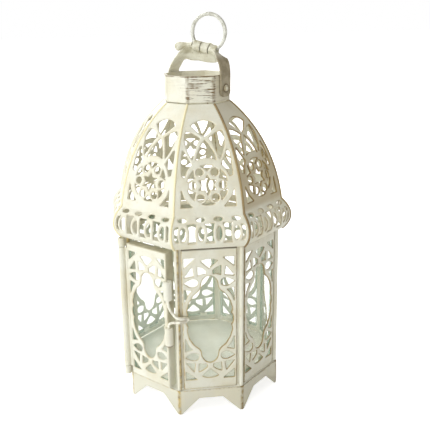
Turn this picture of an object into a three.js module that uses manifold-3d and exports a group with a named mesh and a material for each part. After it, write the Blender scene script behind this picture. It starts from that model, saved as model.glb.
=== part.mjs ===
// Octagonal candle lantern of pierced and painted sheet metal, with glazed sides.
// Eight pierced panels stand between corner posts on a skirt with pointed feet, one of them is the
// door, and eight curved and pierced gores make the dome. A strap over the open neck carries a ring.
// Millimetres, +Z up, origin on the axis at ground level. The front face looks along -Y.
import * as THREE from "three";
import { mergeVertices } from "three/addons/utils/BufferGeometryUtils.js";
import Module from "manifold-3d";

const wasm = await Module();
wasm.setup();

// The octagon
const faceNames = ["front", "front_right", "right", "back_right", "back", "back_left", "left", "front_left"];
const doorFace = 7;
const strapFace = 1;

// Sheet, glass and clearances
const sheet = 0.8;
const domeSheet = 1.1;
const glassThickness = 1.6;
const gap = 0.3;

// Base skirt and floor
const baseRadius = 52;
const skirtHeight = 16.5;
const notchHeight = 10.7;
const notchTopWidth = 14.5;
const footTipWidth = 1.6;
const floorThickness = 1;

// Body walls
const skirtLip = 1.2;
const wallTop = 109.6;
const postNoseRadius = 1.6;
const postLeg = 3.3;
const postLegThickness = 1.2;
const postLegShort = 0.5;
const panelGroove = 1.1;

// Panel fretwork
const panelRail = 6.6;
const panelStile = 1.7;
const drawnHalfWidth = 14.8368;
const drawnHalfHeight = 39.8;
const tabWidth = 5;
const tabLip = 2.6;
const glassOverlap = 1.5;

// Door, hinge and latch
const doorStandsProud = 3;
const doorFlange = 6.5;
const doorBottomGap = 1;
const doorTop = 106.6;
const doorRail = 4.6;
const doorLatchGap = 5.4;
const doorClip = 2.4;
const hingeOffset = 3.7;
const hingeBarrelRadius = 2.2;
const hingePinRadius = 1.1;
const running = 0.08;
const hingeEndLength = 5.5;
const latchHeight = 68.8;
const latchKnuckleLength = 12;
const latchKnuckleGap = 18.2;
const latchKnuckleRadius = 2.6;
const latchWireRadius = 0.85;
const latchNoseInset = 2.4;
const latchNoseDrop = 3.4;
const latchNoseHeight = 5.4;
const latchBow = 1.9;
const catchWidth = 1.1;
const catchHeight = 1.8;
const catchDepth = 1.4;

// Roof seat, dome and eave: circumradii and heights of the outer sheet
const seatThickness = 1;
const seatWidth = 7;
const seatLugWidth = 4;
const eaveOverhang = 2.2;
const eaveAboveWalls = 0.4;
const eaveBulge = 10.3;
const kinkDrawnIn = 1.1;
const eaveHeight = 19.3;
const shoulderRadius = 47.6;
const shoulderAboveKink = 37.7;
const neckRadius = 20.5;
const domeHeight = 59.3;
const gapAtRidge = 0.2;

// Dome fretwork
const medallionAboveKink = 17.1;
const faceLean = 0.94;
const starRadius = 5.3;
const starWaist = 3;
const petalRadius = 1.9;
const petalRing = 8.5;
const rimRadius = 11.4;
const cuspRadius = 8.6;
const cuspHalfAngle = 0.26;

// Eave fretwork
const loopsPerFace = 4;
const loopPitch = 10.3;
const loopHalfWidth = 3.4;
const eyeHalfWidth = 1.6;
const eyeHalfHeight = 3.4;
const loopAboveEaveBottom = 10.9;
const betweenHalfHeight = 5;
const betweenHalfWidth = 2.5;
const betweenWaist = 1.6;
const peepholeBelowKink = 1.4;
const peepholeHalfWidth = 2.3;
const peepholeHalfHeight = 0.9;

// Neck, strap and ring
const neckHeight = 15.3;
const neckWall = 1;
const strapWidth = 10;
const strapThickness = 1;
const strapFootBelowRivet = 5;
const rivetAboveNeckBottom = 7.7;
const rivetHeadRadius = 1.8;
const rivetHeadHeight = 1.2;
const rivetShankRadius = 0.8;
const strapAside = 2.2;
const crownRise = 12;
const crownTwist = 60;
const crownYaw = 0.3;
const rolledEdge = 1.3;
const knuckleCount = 3;
const knuckleLength = 2.9;
const knuckleSpacing = 5.2;
const knuckleBore = 2.5;
const knuckleWall = 0.6;
const ringReach = 6.6;
const ringAside = 0.8;
const ringLift = 14.8;
const ringFall = 0.24;
const ringYaw = 0.25;
const tongueStart = 8.6;
const tongueEnd = 22.5;
const tongueFall = 1.4;
const tongueRootRadius = 1.7;
const tongueTipRadius = 2.4;
const ringRadius = 10.4;
const ringWireRadius = 1;

// Worked out from the values above
const faceCount = faceNames.length;
const faceStep = 2 * Math.PI / faceCount;
const halfStep = faceStep / 2;
const apothem = (radius) => radius * Math.cos(halfStep);
const halfFace = (radius) => radius * Math.sin(halfStep);
const circumradius = (flat) => flat / Math.cos(halfStep);
const wallFlat = apothem(baseRadius) - skirtLip;
const wallBottom = skirtHeight + gap;
const wallHalfWidth = wallFlat * Math.tan(halfStep);
const noseFlat = wallFlat - sheet / 2;
const noseX = noseFlat * Math.tan(halfStep);
const panelHalfWidth = noseX - postNoseRadius - panelGroove;
const panelMiddle = (wallBottom + wallTop) / 2;
const panelHalfHeight = (wallTop - wallBottom) / 2;
const fieldHalfWidth = panelHalfWidth - panelStile;
const fieldHalfHeight = panelHalfHeight - panelRail;
const glassBack = wallFlat - sheet - gap - glassThickness;
const seatBottom = wallTop + gap;
const eaveBottomRadius = baseRadius + eaveOverhang;
const eaveBulgeRadius = eaveBottomRadius + eaveBulge;
const kinkRadius = eaveBottomRadius - kinkDrawnIn;
const eaveBottom = wallTop + eaveAboveWalls;
const kinkHeight = eaveBottom + eaveHeight;
const shoulderHeight = kinkHeight + shoulderAboveKink;
const neckBottom = kinkHeight + domeHeight;
const neckTop = neckBottom + gap + neckHeight;
const rivetHeight = neckBottom + rivetAboveNeckBottom;
const eaveMiddle = eaveBottom + loopAboveEaveBottom;
const peepholeHeight = kinkHeight - peepholeBelowKink;
const medallionHeight = kinkHeight + medallionAboveKink;

const finishes = {
  paint: { color: 0xe4dcc6, roughness: 0.55, metalness: 0.1 },
  strap: { color: 0xdccfae, roughness: 0.5, metalness: 0.2 },
  glass: { color: 0xb9d6c8, roughness: 0.05, metalness: 0, transparent: true, opacity: 0.3 },
  wire: { color: 0xd8cfb9, roughness: 0.45, metalness: 0.4 },
};

const lantern = new THREE.Group();

// Solids

function toSolid(geometry) {
  const bare = geometry.index ? geometry.toNonIndexed() : geometry.clone();
  bare.deleteAttribute("normal");
  bare.deleteAttribute("uv");
  const merged = mergeVertices(bare, 1e-4);
  const vertProperties = new Float32Array(merged.attributes.position.array);
  const triVerts = new Uint32Array(merged.index.array);
  return new wasm.Manifold(new wasm.Mesh({ numProp: 3, vertProperties, triVerts }));
}

function toGeometry(solid) {
  const mesh = solid.getMesh();
  const geometry = new THREE.BufferGeometry();
  geometry.setAttribute("position", new THREE.BufferAttribute(mesh.vertProperties, 3));
  geometry.setIndex(new THREE.BufferAttribute(mesh.triVerts, 1));
  geometry.computeVertexNormals();
  return geometry;
}

const join = (solids) => solids.reduce((whole, next) => whole.add(next));
const cut = (solid, cutters) => cutters.reduce((rest, next) => rest.subtract(next), solid);

function place(name, shape, finish, face = 0, parent = lantern) {
  const geometry = shape instanceof THREE.BufferGeometry ? shape : toGeometry(shape);
  const mesh = new THREE.Mesh(geometry, new THREE.MeshStandardMaterial(finish));
  mesh.name = name;
  mesh.rotation.z = face * faceStep;
  parent.add(mesh);
  return mesh;
}

// A drawing on a face, x along it and y up, becomes a slab from flat distance near to far
function slab(shape, near, far, curveSegments = 6) {
  const geometry = new THREE.ExtrudeGeometry(shape, {
    depth: far - near, bevelEnabled: false, curveSegments });
  geometry.rotateX(Math.PI / 2);
  geometry.translate(0, -near, 0);
  return toSolid(geometry);
}

function box(left, right, near, far, bottom, top) {
  const geometry = new THREE.BoxGeometry(right - left, far - near, top - bottom);
  geometry.translate((left + right) / 2, -(near + far) / 2, (bottom + top) / 2);
  return toSolid(geometry);
}

function upright(shape, bottom, top, curveSegments = 6) {
  const geometry = new THREE.ExtrudeGeometry(shape, {
    depth: top - bottom, bevelEnabled: false, curveSegments });
  geometry.translate(0, 0, bottom);
  return geometry;
}

function polygon(points) {
  return new THREE.Shape(points.map(([x, y]) => new THREE.Vector2(x, y)));
}

function octagonPath(flat, Path = THREE.Shape) {
  const radius = circumradius(flat);
  const corners = [...Array(faceCount).keys()].map((k) => {
    const angle = halfStep + k * faceStep;
    return new THREE.Vector2(radius * Math.cos(angle), radius * Math.sin(angle));
  });
  return new Path(corners);
}

function octagonRing(outerFlat, innerFlat) {
  const shape = octagonPath(outerFlat);
  shape.holes.push(octagonPath(innerFlat, THREE.Path));
  return shape;
}

function oval(x, y, halfWidth, halfHeight, sides) {
  return [...Array(sides).keys()].map((k) => {
    const angle = (k + 0.5) * 2 * Math.PI / sides;
    return [x + halfWidth * Math.cos(angle), y + halfHeight * Math.sin(angle)];
  });
}

const at = (x, y) => new THREE.Vector2(x, y);
const bend = (from, pull, to) => new THREE.QuadraticBezierCurve(from, pull, to);
const inOrder = (a, b) => (a < b ? [a, b] : [b, a]);

function rod(x, flat, radius, bottom, top, sides = 12) {
  const geometry = new THREE.CylinderGeometry(radius, radius, top - bottom, sides);
  geometry.rotateX(Math.PI / 2);
  geometry.translate(x, -flat, (bottom + top) / 2);
  return toSolid(geometry);
}

// Base skirt: an octagonal band with a trapezoid cut into each side, which leaves eight pointed feet
function baseSkirt() {
  const flat = apothem(baseRadius);
  const wall = toSolid(upright(octagonRing(flat, flat - sheet), 0, skirtHeight));
  const footHalf = halfFace(baseRadius) - footTipWidth;
  const slope = (footHalf - notchTopWidth / 2) / notchHeight;
  const notch = polygon([
    [-footHalf - slope, -1], [footHalf + slope, -1], [notchTopWidth / 2, notchHeight],
    [-notchTopWidth / 2, notchHeight]]);
  const cutter = slab(notch, flat - 3 * sheet, flat + 3 * sheet);
  const cutters = faceNames.map((_, face) => cutter.rotate([0, 0, face * 360 / faceCount]));
  return cut(wall, cutters);
}

function floorPlate() {
  const flat = apothem(baseRadius) - sheet - gap;
  return upright(octagonPath(flat), skirtHeight - floorThickness, skirtHeight);
}

// Corner post at the right end of a face: a round nose with a leg behind each fixed panel beside it
function cornerPost(legBefore, legAfter) {
  const legOuter = wallFlat - sheet - gap;
  const legInner = legOuter - postLegThickness;
  const corner = (flat) => [flat * Math.tan(halfStep), -flat];
  const legEnd = (flat) => [wallHalfWidth - postLeg, -flat];
  const onNextFace = ([x, y]) => at(-x, y).rotateAround(at(0, 0), faceStep).toArray();
  const outer = [corner(legOuter)];
  const inner = [corner(legInner)];
  if (legBefore) {
    outer.unshift(legEnd(legOuter));
    inner.unshift(legEnd(legInner));
  }
  if (legAfter) {
    outer.push(onNextFace(legEnd(legOuter)));
    inner.push(onNextFace(legEnd(legInner)));
  }
  const section = polygon([...outer, ...inner.reverse()]);
  const legs = toSolid(upright(section, wallBottom + postLegShort, wallTop - postLegShort));
  return legs.add(rod(noseX, noseFlat, postNoseRadius, wallBottom, wallTop, 8));
}

// Fretwork of a glazed panel, drawn on a field of drawnHalfWidth by drawnHalfHeight. The openings right
// of the middle line and above the middle leave crossing arcs round a quarter of a window like a vase.
const cornerOpening = [[8.8, 39.8], [14.8, 34.8], [14.8, 39.8]];
const sideOpening = [[9.5, 29], [14.6, 28.2], [10.2, 34]];
const fanOpening = [[2.4, 29.8], [6.6, 29.2], [6.8, 34.3], [2.2, 31.6]];
const eyeOpening = [[7, 24.3], [7.6, 22.6], [11, 22], [14.8, 24.4], [11, 26.3], [8, 26.1]];
const shoulderOpening = [[11, 19.1], [13.4, 16.6], [14.8, 12.3], [14.8, 20.1]];
const crownOpening = [[0, 33.6], [4.6, 37.8], [2.4, 38.6], [0, 38.8]];
const vaseEdge = [[0, 28.4], [2.6, 27.2], [4.4, 24.8], [5.1, 21.6], [7.6, 17.5], [10.4, 14.6],
  [12.3, 10.6], [13.1, 6.8], [12.7, 3.4], [13.6, 1.7]];

const mirror = (points, alongX, alongY) => points.map(([x, y]) => [x * alongX, y * alongY]);

// A half outline, from its lowest to its highest point on the middle line, becomes a whole one
function bothSides(half) {
  const left = mirror(half.filter(([x]) => x > 0), -1, 1).reverse();
  return [...half, ...left];
}

function panelOpenings() {
  const lowerHalf = mirror(vaseEdge, 1, -1);
  const vase = bothSides([...lowerHalf, ...vaseEdge.slice().reverse()]);
  const openings = [vase];
  for (const up of [-1, 1]) {
    openings.push(mirror(bothSides(crownOpening), 1, up));
    for (const side of [-1, 1]) {
      for (const one of [cornerOpening, sideOpening, fanOpening, eyeOpening, shoulderOpening]) {
        openings.push(mirror(one, side, up));
      }
    }
  }
  return openings;
}

// The drawing is stretched to the field that it fills
function piercedSheet(plate, halfWidth, halfHeight, near, far, middleX, middleZ) {
  const cutters = panelOpenings().map((points) => {
    const stretched = mirror(points, halfWidth / drawnHalfWidth, halfHeight / drawnHalfHeight);
    return slab(polygon(stretched), near - 1, far + 1).translate([middleX, 0, middleZ]);
  });
  return plate.subtract(join(cutters));
}

// Tabs folded round the top and bottom edges of a pane
function glassTabs(back, middleX, middleZ, glassHalfHeight, spread) {
  const lipFar = back - gap - glassThickness - gap;
  const tabs = [];
  for (const x of [middleX - spread, middleX + spread]) {
    const left = x - tabWidth / 2;
    const right = x + tabWidth / 2;
    for (const end of [-1, 1]) {
      const edge = middleZ + end * (glassHalfHeight + gap);
      const beyond = edge + end * sheet;
      const inside = edge - end * tabLip;
      tabs.push(box(left, right, lipFar - sheet, back + sheet / 2, ...inOrder(edge, beyond)));
      tabs.push(box(left, right, lipFar - sheet, lipFar, ...inOrder(inside, beyond)));
    }
  }
  return tabs;
}

function sidePanel() {
  const plate = box(-panelHalfWidth, panelHalfWidth, wallFlat - sheet, wallFlat, wallBottom, wallTop);
  const pierced = piercedSheet(
    plate, fieldHalfWidth, fieldHalfHeight, wallFlat - sheet, wallFlat, 0, panelMiddle);
  const tabs = glassTabs(
    wallFlat - sheet, 0, panelMiddle, fieldHalfHeight + glassOverlap, fieldHalfWidth / 2);
  return join([pierced, ...tabs]);
}

function sideGlass() {
  const halfWidth = wallHalfWidth - postLeg - gap;
  const halfHeight = fieldHalfHeight + glassOverlap;
  return box(-halfWidth, halfWidth, glassBack, glassBack + glassThickness,
    panelMiddle - halfHeight, panelMiddle + halfHeight);
}

// Door: a shallow pan that stands proud of the wall, with the long hinge barrel at its left edge and
// two knuckles for the latch wire at its right edge
const hingeRadius = circumradius(wallFlat) + hingeOffset;
const hingeX = -halfFace(hingeRadius);
const hingeFlat = apothem(hingeRadius);
const doorFlat = wallFlat + doorStandsProud;
const doorLeft = gap + postNoseRadius - noseX;
const doorRight = wallHalfWidth - doorLatchGap;
const doorBottom = wallBottom + doorBottomGap;
const doorMiddleX = (doorLeft + doorRight) / 2;
const doorMiddleZ = (doorBottom + doorTop) / 2;
const doorHalfWidth = (doorRight - doorLeft) / 2;
const doorHalfHeight = (doorTop - doorBottom) / 2;
const doorGlassHalfHeight = doorHalfHeight - doorRail + glassOverlap;
const latchX = doorRight + latchWireRadius + gap;
const latchFlat = doorFlat + gap;

function doorPanel() {
  const back = doorFlat - sheet;
  const plate = box(doorLeft, doorRight, back, doorFlat, doorBottom, doorTop);
  const pierced = piercedSheet(plate, doorHalfWidth - panelStile, doorHalfHeight - doorRail,
    back, doorFlat, doorMiddleX, doorMiddleZ);
  const pan = box(doorLeft, doorRight, doorFlat - doorFlange, doorFlat, doorBottom, doorTop);
  const inside = box(doorLeft + sheet, doorRight - sheet, doorFlat - doorFlange - 1, doorFlat + 1,
    doorBottom + sheet, doorTop - sheet);
  const barrelBottom = wallBottom + hingeEndLength + gap;
  const barrelTop = wallTop - hingeEndLength - gap;
  const barrel = rod(hingeX, hingeFlat, hingeBarrelRadius, barrelBottom, barrelTop);
  const leaf = box(hingeX, doorLeft + sheet, back, doorFlat, barrelBottom, barrelTop);
  const pinBore = rod(hingeX, hingeFlat, hingePinRadius + running, 0, wallTop + 1);
  const clipFar = back - gap - glassThickness - gap;
  const clips = [];
  for (const [left, right] of [[doorLeft, doorLeft + doorClip], [doorRight - doorClip, doorRight]]) {
    for (const end of [-1, 1]) {
      const height = doorMiddleZ + end * doorHalfHeight / 2;
      clips.push(box(left, right, clipFar - sheet, clipFar, height - tabWidth / 2, height + tabWidth / 2));
    }
  }
  const whole = join([pierced, pan.subtract(inside), barrel, leaf, ...clips, ...latchKnuckles()]);
  return whole.subtract(pinBore);
}

function latchKnuckles() {
  return [-1, 1].map((side) => {
    const middle = latchHeight + side * (latchKnuckleGap + latchKnuckleLength) / 2;
    const bottom = middle - latchKnuckleLength / 2;
    const top = middle + latchKnuckleLength / 2;
    const knuckle = rod(latchX, latchFlat, latchKnuckleRadius, bottom, top, 12);
    return knuckle.subtract(rod(latchX, latchFlat, latchWireRadius + running, bottom - 1, top + 1, 12));
  });
}

function doorGlass() {
  const halfWidth = doorHalfWidth - sheet - gap;
  const back = doorFlat - sheet - gap - glassThickness;
  return box(doorMiddleX - halfWidth, doorMiddleX + halfWidth, back, back + glassThickness,
    doorMiddleZ - doorGlassHalfHeight, doorMiddleZ + doorGlassHalfHeight);
}

// The post at the hinge also holds the two end knuckles, and the lower one is closed underneath
function hingePost() {
  const ends = [wallBottom, wallTop - hingeEndLength].map((bottom) => {
    const top = bottom + hingeEndLength;
    const knuckle = rod(hingeX, hingeFlat, hingeBarrelRadius, bottom, top);
    const arm = box(hingeX - sheet / 2, -noseX + sheet / 2, noseFlat, hingeFlat, bottom, top);
    return knuckle.add(arm);
  });
  const bore = rod(hingeX, hingeFlat, hingePinRadius + running, wallBottom + sheet, wallTop + 1);
  const knuckles = join(ends).subtract(bore).rotate([0, 0, 360 / faceCount]);
  return cornerPost(true, false).add(knuckles);
}

function hingePin() {
  return rod(hingeX, hingeFlat, hingePinRadius, wallBottom + sheet + gap, wallTop - hingePinRadius);
}

// Latch: one bent wire, hooked into both knuckles, whose narrow nose springs over the corner post
// and lies on the front panel
function latchLoop() {
  const door = at(latchX, -latchFlat).rotateAround(at(0, 0), doorFace * faceStep);
  const nose = at(latchNoseInset - panelHalfWidth, -(wallFlat + gap + latchWireRadius + sheet));
  const reach = nose.clone().sub(door);
  const out = at(reach.y, -reach.x).normalize();
  const spot = (share, height) => {
    const bow = latchBow * Math.sin(Math.PI * share);
    const plan = door.clone().addScaledVector(reach, share).addScaledVector(out, bow);
    return new THREE.Vector3(plan.x, plan.y, latchHeight + height);
  };
  const half = latchKnuckleGap / 2;
  const pin = latchKnuckleLength * 0.8;
  const noseTop = latchNoseHeight / 2 - latchNoseDrop;
  const noseBottom = -latchNoseHeight / 2 - latchNoseDrop;
  const points = [
    spot(0, half + pin), spot(0, half), spot(0, half - 1.2), spot(0.12, half - 3),
    spot(0.6, noseTop + 1), spot(0.95, noseTop - 0.6), spot(1, noseTop - 1.8), spot(1, noseBottom + 1.8),
    spot(0.95, noseBottom + 0.6), spot(0.6, noseBottom - 1), spot(0.12, 3 - half), spot(0, 1.2 - half),
    spot(0, -half), spot(0, -half - pin),
  ];
  return wire(new THREE.CatmullRomCurve3(points, false, "centripetal"), latchWireRadius, 24, 6);
}

// A small tongue on the front panel, inside the nose of the latch wire
function latchCatch() {
  const middle = latchHeight - latchNoseDrop;
  return box(-panelHalfWidth, catchWidth - panelHalfWidth, wallFlat - sheet, wallFlat + catchDepth,
    middle - catchHeight / 2, middle + catchHeight / 2);
}

function wire(curve, radius, steps, sides) {
  const section = polygon(oval(0, 0, radius, radius, sides));
  return new THREE.ExtrudeGeometry(section, { extrudePath: curve, steps, curveSegments: 1 });
}

// Roof seat: a flat ring on the posts, with a lug at each corner that carries the dome
function roofSeat() {
  const top = seatBottom + seatThickness;
  const ring = toSolid(upright(octagonRing(wallFlat, wallFlat - seatWidth), seatBottom, top));
  const tip = circumradius(apothem(domeRadiusAt(seatBottom + seatThickness / 2)) - domeSheet - gap);
  const lugEnd = (seatLugWidth / 2) * Math.tan(halfStep);
  const lug = box(-seatLugWidth / 2, seatLugWidth / 2, wallFlat - sheet, tip - lugEnd, seatBottom, top);
  const lugs = faceNames.map((_, face) => lug.rotate([0, 0, (face + 0.5) * 360 / faceCount]));
  return join([ring, ...lugs]);
}

// Dome outline: circumradius against height, from the eave's rim up to the neck
const eaveCurve = bend(at(eaveBottomRadius, eaveBottom), at(eaveBulgeRadius, (eaveBottom + kinkHeight) / 2),
  at(kinkRadius, kinkHeight));
const domeCurve = bend(at(kinkRadius, kinkHeight), at(shoulderRadius, shoulderHeight),
  at(neckRadius, neckBottom));
const outline = [...eaveCurve.getPoints(3), ...domeCurve.getPoints(5).slice(1)];

function domeRadiusAt(height) {
  for (let k = 1; k < outline.length; k++) {
    const [low, high] = [outline[k - 1], outline[k]];
    if (height <= high.y) {
      return low.x + (high.x - low.x) * (height - low.y) / (high.y - low.y);
    }
  }
  return neckRadius;
}

// One face of the dome as a closed shell, mitred at both ridges
function goreShell() {
  const positions = [];
  for (const { x: radius, y: height } of outline) {
    const inner = radius - circumradius(domeSheet);
    for (const [side, skin] of [[-1, radius], [1, radius], [1, inner], [-1, inner]]) {
      positions.push(side * (halfFace(skin) - gapAtRidge), -apothem(skin), height);
    }
  }
  const index = [0, 2, 1, 0, 3, 2];
  for (let row = 0; row < outline.length - 1; row++) {
    for (let k = 0; k < 4; k++) {
      const a = row * 4 + k;
      const b = row * 4 + (k + 1) % 4;
      index.push(a, b, b + 4, a, b + 4, a + 4);
    }
  }
  const top = (outline.length - 1) * 4;
  index.push(top, top + 1, top + 2, top, top + 2, top + 3);
  const geometry = new THREE.BufferGeometry();
  geometry.setAttribute("position", new THREE.Float32BufferAttribute(positions, 3));
  geometry.setIndex(index);
  return toSolid(geometry);
}

// Openings of the arch above the medallion and of the corners beside it, from the medallion's middle
const archHead = [[0, 25.9], [3.6, 27.9], [6.5, 31.1], [3.4, 33.2], [0, 33.8]];
const archBase = [[0, 14.8], [5.4, 13.7], [3.4, 18.9], [0, 23.6]];
const archLeaf = [[2.8, 24.6], [5.5, 19.6], [7.8, 14.2], [10.4, 19.6], [10.9, 25.6], [9.8, 28.2]];
const sideSlit = [[8.5, 11], [11.2, 8.4], [13.1, 4.8], [14.4, 5.3], [13.3, 17.2], [12.4, 18.3]];
const lowerCorner = [[9.5, -11.8], [15.6, -11.9], [15.1, -3], [13.3, -7.2]];

// Star medallion: a six-pointed star in the middle, six round petals, and a cusp between each two
function medallion() {
  const polar = (radius, angle) => [radius * Math.cos(angle), radius * faceLean * Math.sin(angle)];
  const star = [];
  for (let k = 0; k < 12; k++) {
    star.push(polar(k % 2 ? starWaist : starRadius, (k + 3) * Math.PI / 6));
  }
  const openings = [star];
  for (let k = 0; k < 6; k++) {
    const angle = k * Math.PI / 3;
    const between = angle + Math.PI / 6;
    openings.push(oval(...polar(petalRing, angle), petalRadius, petalRadius, 5));
    openings.push([polar(cuspRadius, between), polar(rimRadius, between - cuspHalfAngle),
      polar(rimRadius, between + cuspHalfAngle)]);
  }
  return openings;
}

// The eave's row of upright loops under a row of peepholes
function eaveOpenings() {
  const openings = [];
  const loopX = (k) => (k - (loopsPerFace - 1) / 2) * loopPitch;
  for (let k = 0; k < loopsPerFace; k++) {
    openings.push(oval(loopX(k), eaveMiddle, eyeHalfWidth, eyeHalfHeight, 6));
    openings.push(oval(loopX(k), peepholeHeight, peepholeHalfWidth, peepholeHalfHeight, 6));
  }
  const between = bothSides([[0, -betweenHalfHeight], [betweenHalfWidth, -betweenHalfHeight],
    [betweenWaist, 0], [betweenHalfWidth, betweenHalfHeight], [0, betweenHalfHeight]]);
  for (let k = 1; k < loopsPerFace; k++) {
    openings.push(between.map(([x, y]) => [x + loopX(k - 0.5), y + eaveMiddle]));
  }
  const end = loopX(loopsPerFace - 1) + loopHalfWidth;
  const slit = [[-0.7, -3.6], [1.2, -2.8], [1.2, 2.8], [-0.7, 3.6], [0.1, 0]];
  for (const side of [-1, 1]) {
    openings.push(slit.map(([x, y]) => [side * (x + end), y + eaveMiddle]));
  }
  return openings;
}

// Dome gore with its eave: an onion arch with two crossing arcs over the star medallion
function domeGore() {
  const domeOpenings = [bothSides(archHead), bothSides(archBase), ...medallion()];
  for (const side of [-1, 1]) {
    for (const one of [archLeaf, sideSlit, lowerCorner]) {
      domeOpenings.push(mirror(one, side, 1));
    }
  }
  const lifted = domeOpenings.map((points) => points.map(([x, y]) => [x, y + medallionHeight]));
  const openings = [...lifted, ...eaveOpenings()];
  const cutters = openings.map((points) => slab(polygon(points), 0, baseRadius * 2));
  return goreShell().subtract(join(cutters));
}

// Neck: an open octagonal collar with a rivet hole in two opposite faces
function neckCollar() {
  const flat = apothem(neckRadius);
  const tube = toSolid(upright(octagonRing(flat, flat - neckWall), neckBottom + gap, neckTop));
  const turn = [0, 0, strapFace * 360 / faceCount];
  return cut(tube, rivetHoles().map((hole) => hole.rotate(turn)));
}

// The two holes stand opposite each other, a little to one side of the middle
function rivetHoles() {
  return [-1, 1].map((side) => {
    const hole = new THREE.CylinderGeometry(rivetShankRadius + gap, rivetShankRadius + gap, neckRadius, 10);
    hole.translate(strapAside, side * neckRadius, 0);
    return toSolid(hole).translate([0, 0, rivetHeight]);
  });
}

// Rivet, drawn on its axis: a domed head outside the strap, the shank and a flat head inside the neck
function rivet(side) {
  const strapOuter = strapFlat + strapThickness / 2 + gap;
  const neckInner = apothem(neckRadius) - neckWall - gap;
  const profile = [
    at(0, neckInner - sheet), at(rivetHeadRadius, neckInner - sheet), at(rivetHeadRadius, neckInner),
    at(rivetShankRadius, neckInner), at(rivetShankRadius, strapOuter), at(rivetHeadRadius, strapOuter),
    at(rivetHeadRadius * 0.9, strapOuter + rivetHeadHeight * 0.55),
    at(rivetHeadRadius * 0.5, strapOuter + rivetHeadHeight * 0.92), at(0, strapOuter + rivetHeadHeight)];
  const geometry = new THREE.LatheGeometry(profile, 10);
  geometry.rotateX(side > 0 ? Math.PI : 0);
  geometry.translate(strapAside, 0, rivetHeight);
  return geometry;
}

// Strap: an arch over the neck between the two rivets. Its middle is twisted so that one edge stands
// up, and that edge is rolled into short knuckles and a tongue for the ring.
const strapFlat = apothem(neckRadius) + gap + strapThickness / 2;

function strapCurve() {
  const p = (share, rise) => {
    const reach = share * strapFlat;
    const yaw = crownYaw * (1 - THREE.MathUtils.smoothstep(Math.abs(share), 0.45, 0.95));
    return new THREE.Vector3(strapAside + yaw * reach, -reach, neckTop + rise * crownRise);
  };
  const foot = (rivetHeight - strapFootBelowRivet - neckTop) / crownRise;
  return new THREE.CatmullRomCurve3([
    p(-1, foot), p(-1, foot / 2), p(-1, 0.04), p(-0.88, 0.26), p(-0.64, 0.6), p(-0.4, 0.86), p(-0.12, 1),
    p(0.14, 0.96), p(0.36, 0.8), p(0.6, 0.62), p(0.82, 0.44), p(0.97, 0.2), p(1, 0), p(1, foot / 2),
    p(1, foot)], false, "centripetal");
}

// Across the strap: level at the feet, and turned at the crown so that the near edge stands up
function strapFrame(curve, share) {
  const middle = curve.getPoint(share);
  const along = curve.getTangent(share);
  const reach = -middle.y / strapFlat;
  const rising = THREE.MathUtils.smoothstep(reach, -0.75, -0.05);
  const crown = rising * (1 - THREE.MathUtils.smoothstep(reach, 0.6, 1));
  const across = new THREE.Vector3(1, 0, 0).projectOnPlane(along).normalize();
  across.applyAxisAngle(along, THREE.MathUtils.degToRad(-crownTwist * crown));
  return { middle, across, normal: along.clone().cross(across), crown };
}

function strapBody(curve, steps) {
  const positions = [];
  const length = curve.getLength();
  for (let k = 0; k <= steps; k++) {
    const { middle, across, normal, crown } = strapFrame(curve, k / steps);
    const fromEnd = Math.min(k, steps - k) / steps * length;
    const round = Math.min(1, 0.6 + fromEnd / strapWidth * 1.8);
    for (const [side, face] of [[-1, -1], [1, -1], [1, 1], [-1, 1]]) {
      const reach = round * strapWidth / 2 + (side < 0 ? rolledEdge * crown : 0);
      const point = middle.clone().addScaledVector(across, side * reach);
      positions.push(...point.addScaledVector(normal, face * strapThickness / 2));
    }
  }
  return loft(positions, 4, steps);
}

// Rings of points joined into a closed tube with flat ends
function loft(positions, around, steps) {
  const index = [];
  for (let row = 0; row < steps; row++) {
    for (let k = 0; k < around; k++) {
      const a = row * around + k;
      const b = row * around + (k + 1) % around;
      index.push(a, b, b + around, a, b + around, a + around);
    }
  }
  const last = steps * around;
  for (let k = 1; k < around - 1; k++) {
    index.push(0, k + 1, k, last, last + k, last + k + 1);
  }
  const geometry = new THREE.BufferGeometry();
  geometry.setAttribute("position", new THREE.Float32BufferAttribute(positions, 3));
  geometry.setIndex(index);
  return toSolid(geometry);
}

// Place and direction of the rolled edge that the ring runs in
function ringSeat() {
  const centre = new THREE.Vector3(ringAside, -ringReach, neckTop + ringLift);
  const along = new THREE.Vector3(ringYaw, -1, -ringFall).normalize();
  const up = new THREE.Vector3(0, 0, 1).projectOnPlane(along).normalize();
  return { centre, along, up };
}

function cylinderBetween(from, to, radius, tipRadius = radius, sides = 10) {
  const geometry = new THREE.CylinderGeometry(tipRadius, radius, from.distanceTo(to), sides);
  const turn = new THREE.Quaternion().setFromUnitVectors(
    new THREE.Vector3(0, 1, 0), to.clone().sub(from).normalize());
  geometry.applyQuaternion(turn);
  const middle = from.clone().add(to).multiplyScalar(0.5);
  geometry.translate(middle.x, middle.y, middle.z);
  return toSolid(geometry);
}

function handleStrap() {
  const { centre, along } = ringSeat();
  const onAxis = (distance) => centre.clone().addScaledVector(along, distance);
  const pieces = [strapBody(strapCurve(), 18)];
  for (let k = 0; k < knuckleCount; k++) {
    const middle = (k - (knuckleCount - 1) / 2) * knuckleSpacing;
    pieces.push(cylinderBetween(
      onAxis(middle - knuckleLength / 2), onAxis(middle + knuckleLength / 2), knuckleBore + knuckleWall));
  }
  const half = tongueStart + gap;
  const bore = cylinderBetween(onAxis(-half), onAxis(half), knuckleBore, knuckleBore, 14);
  const tongueTip = onAxis(-tongueEnd);
  tongueTip.z = onAxis(-tongueStart).z - tongueFall;
  const tongue = cylinderBetween(onAxis(-tongueStart), tongueTip, tongueRootRadius, tongueTipRadius);
  return cut(join(pieces), [bore, ...rivetHoles()]).add(tongue);
}

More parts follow.
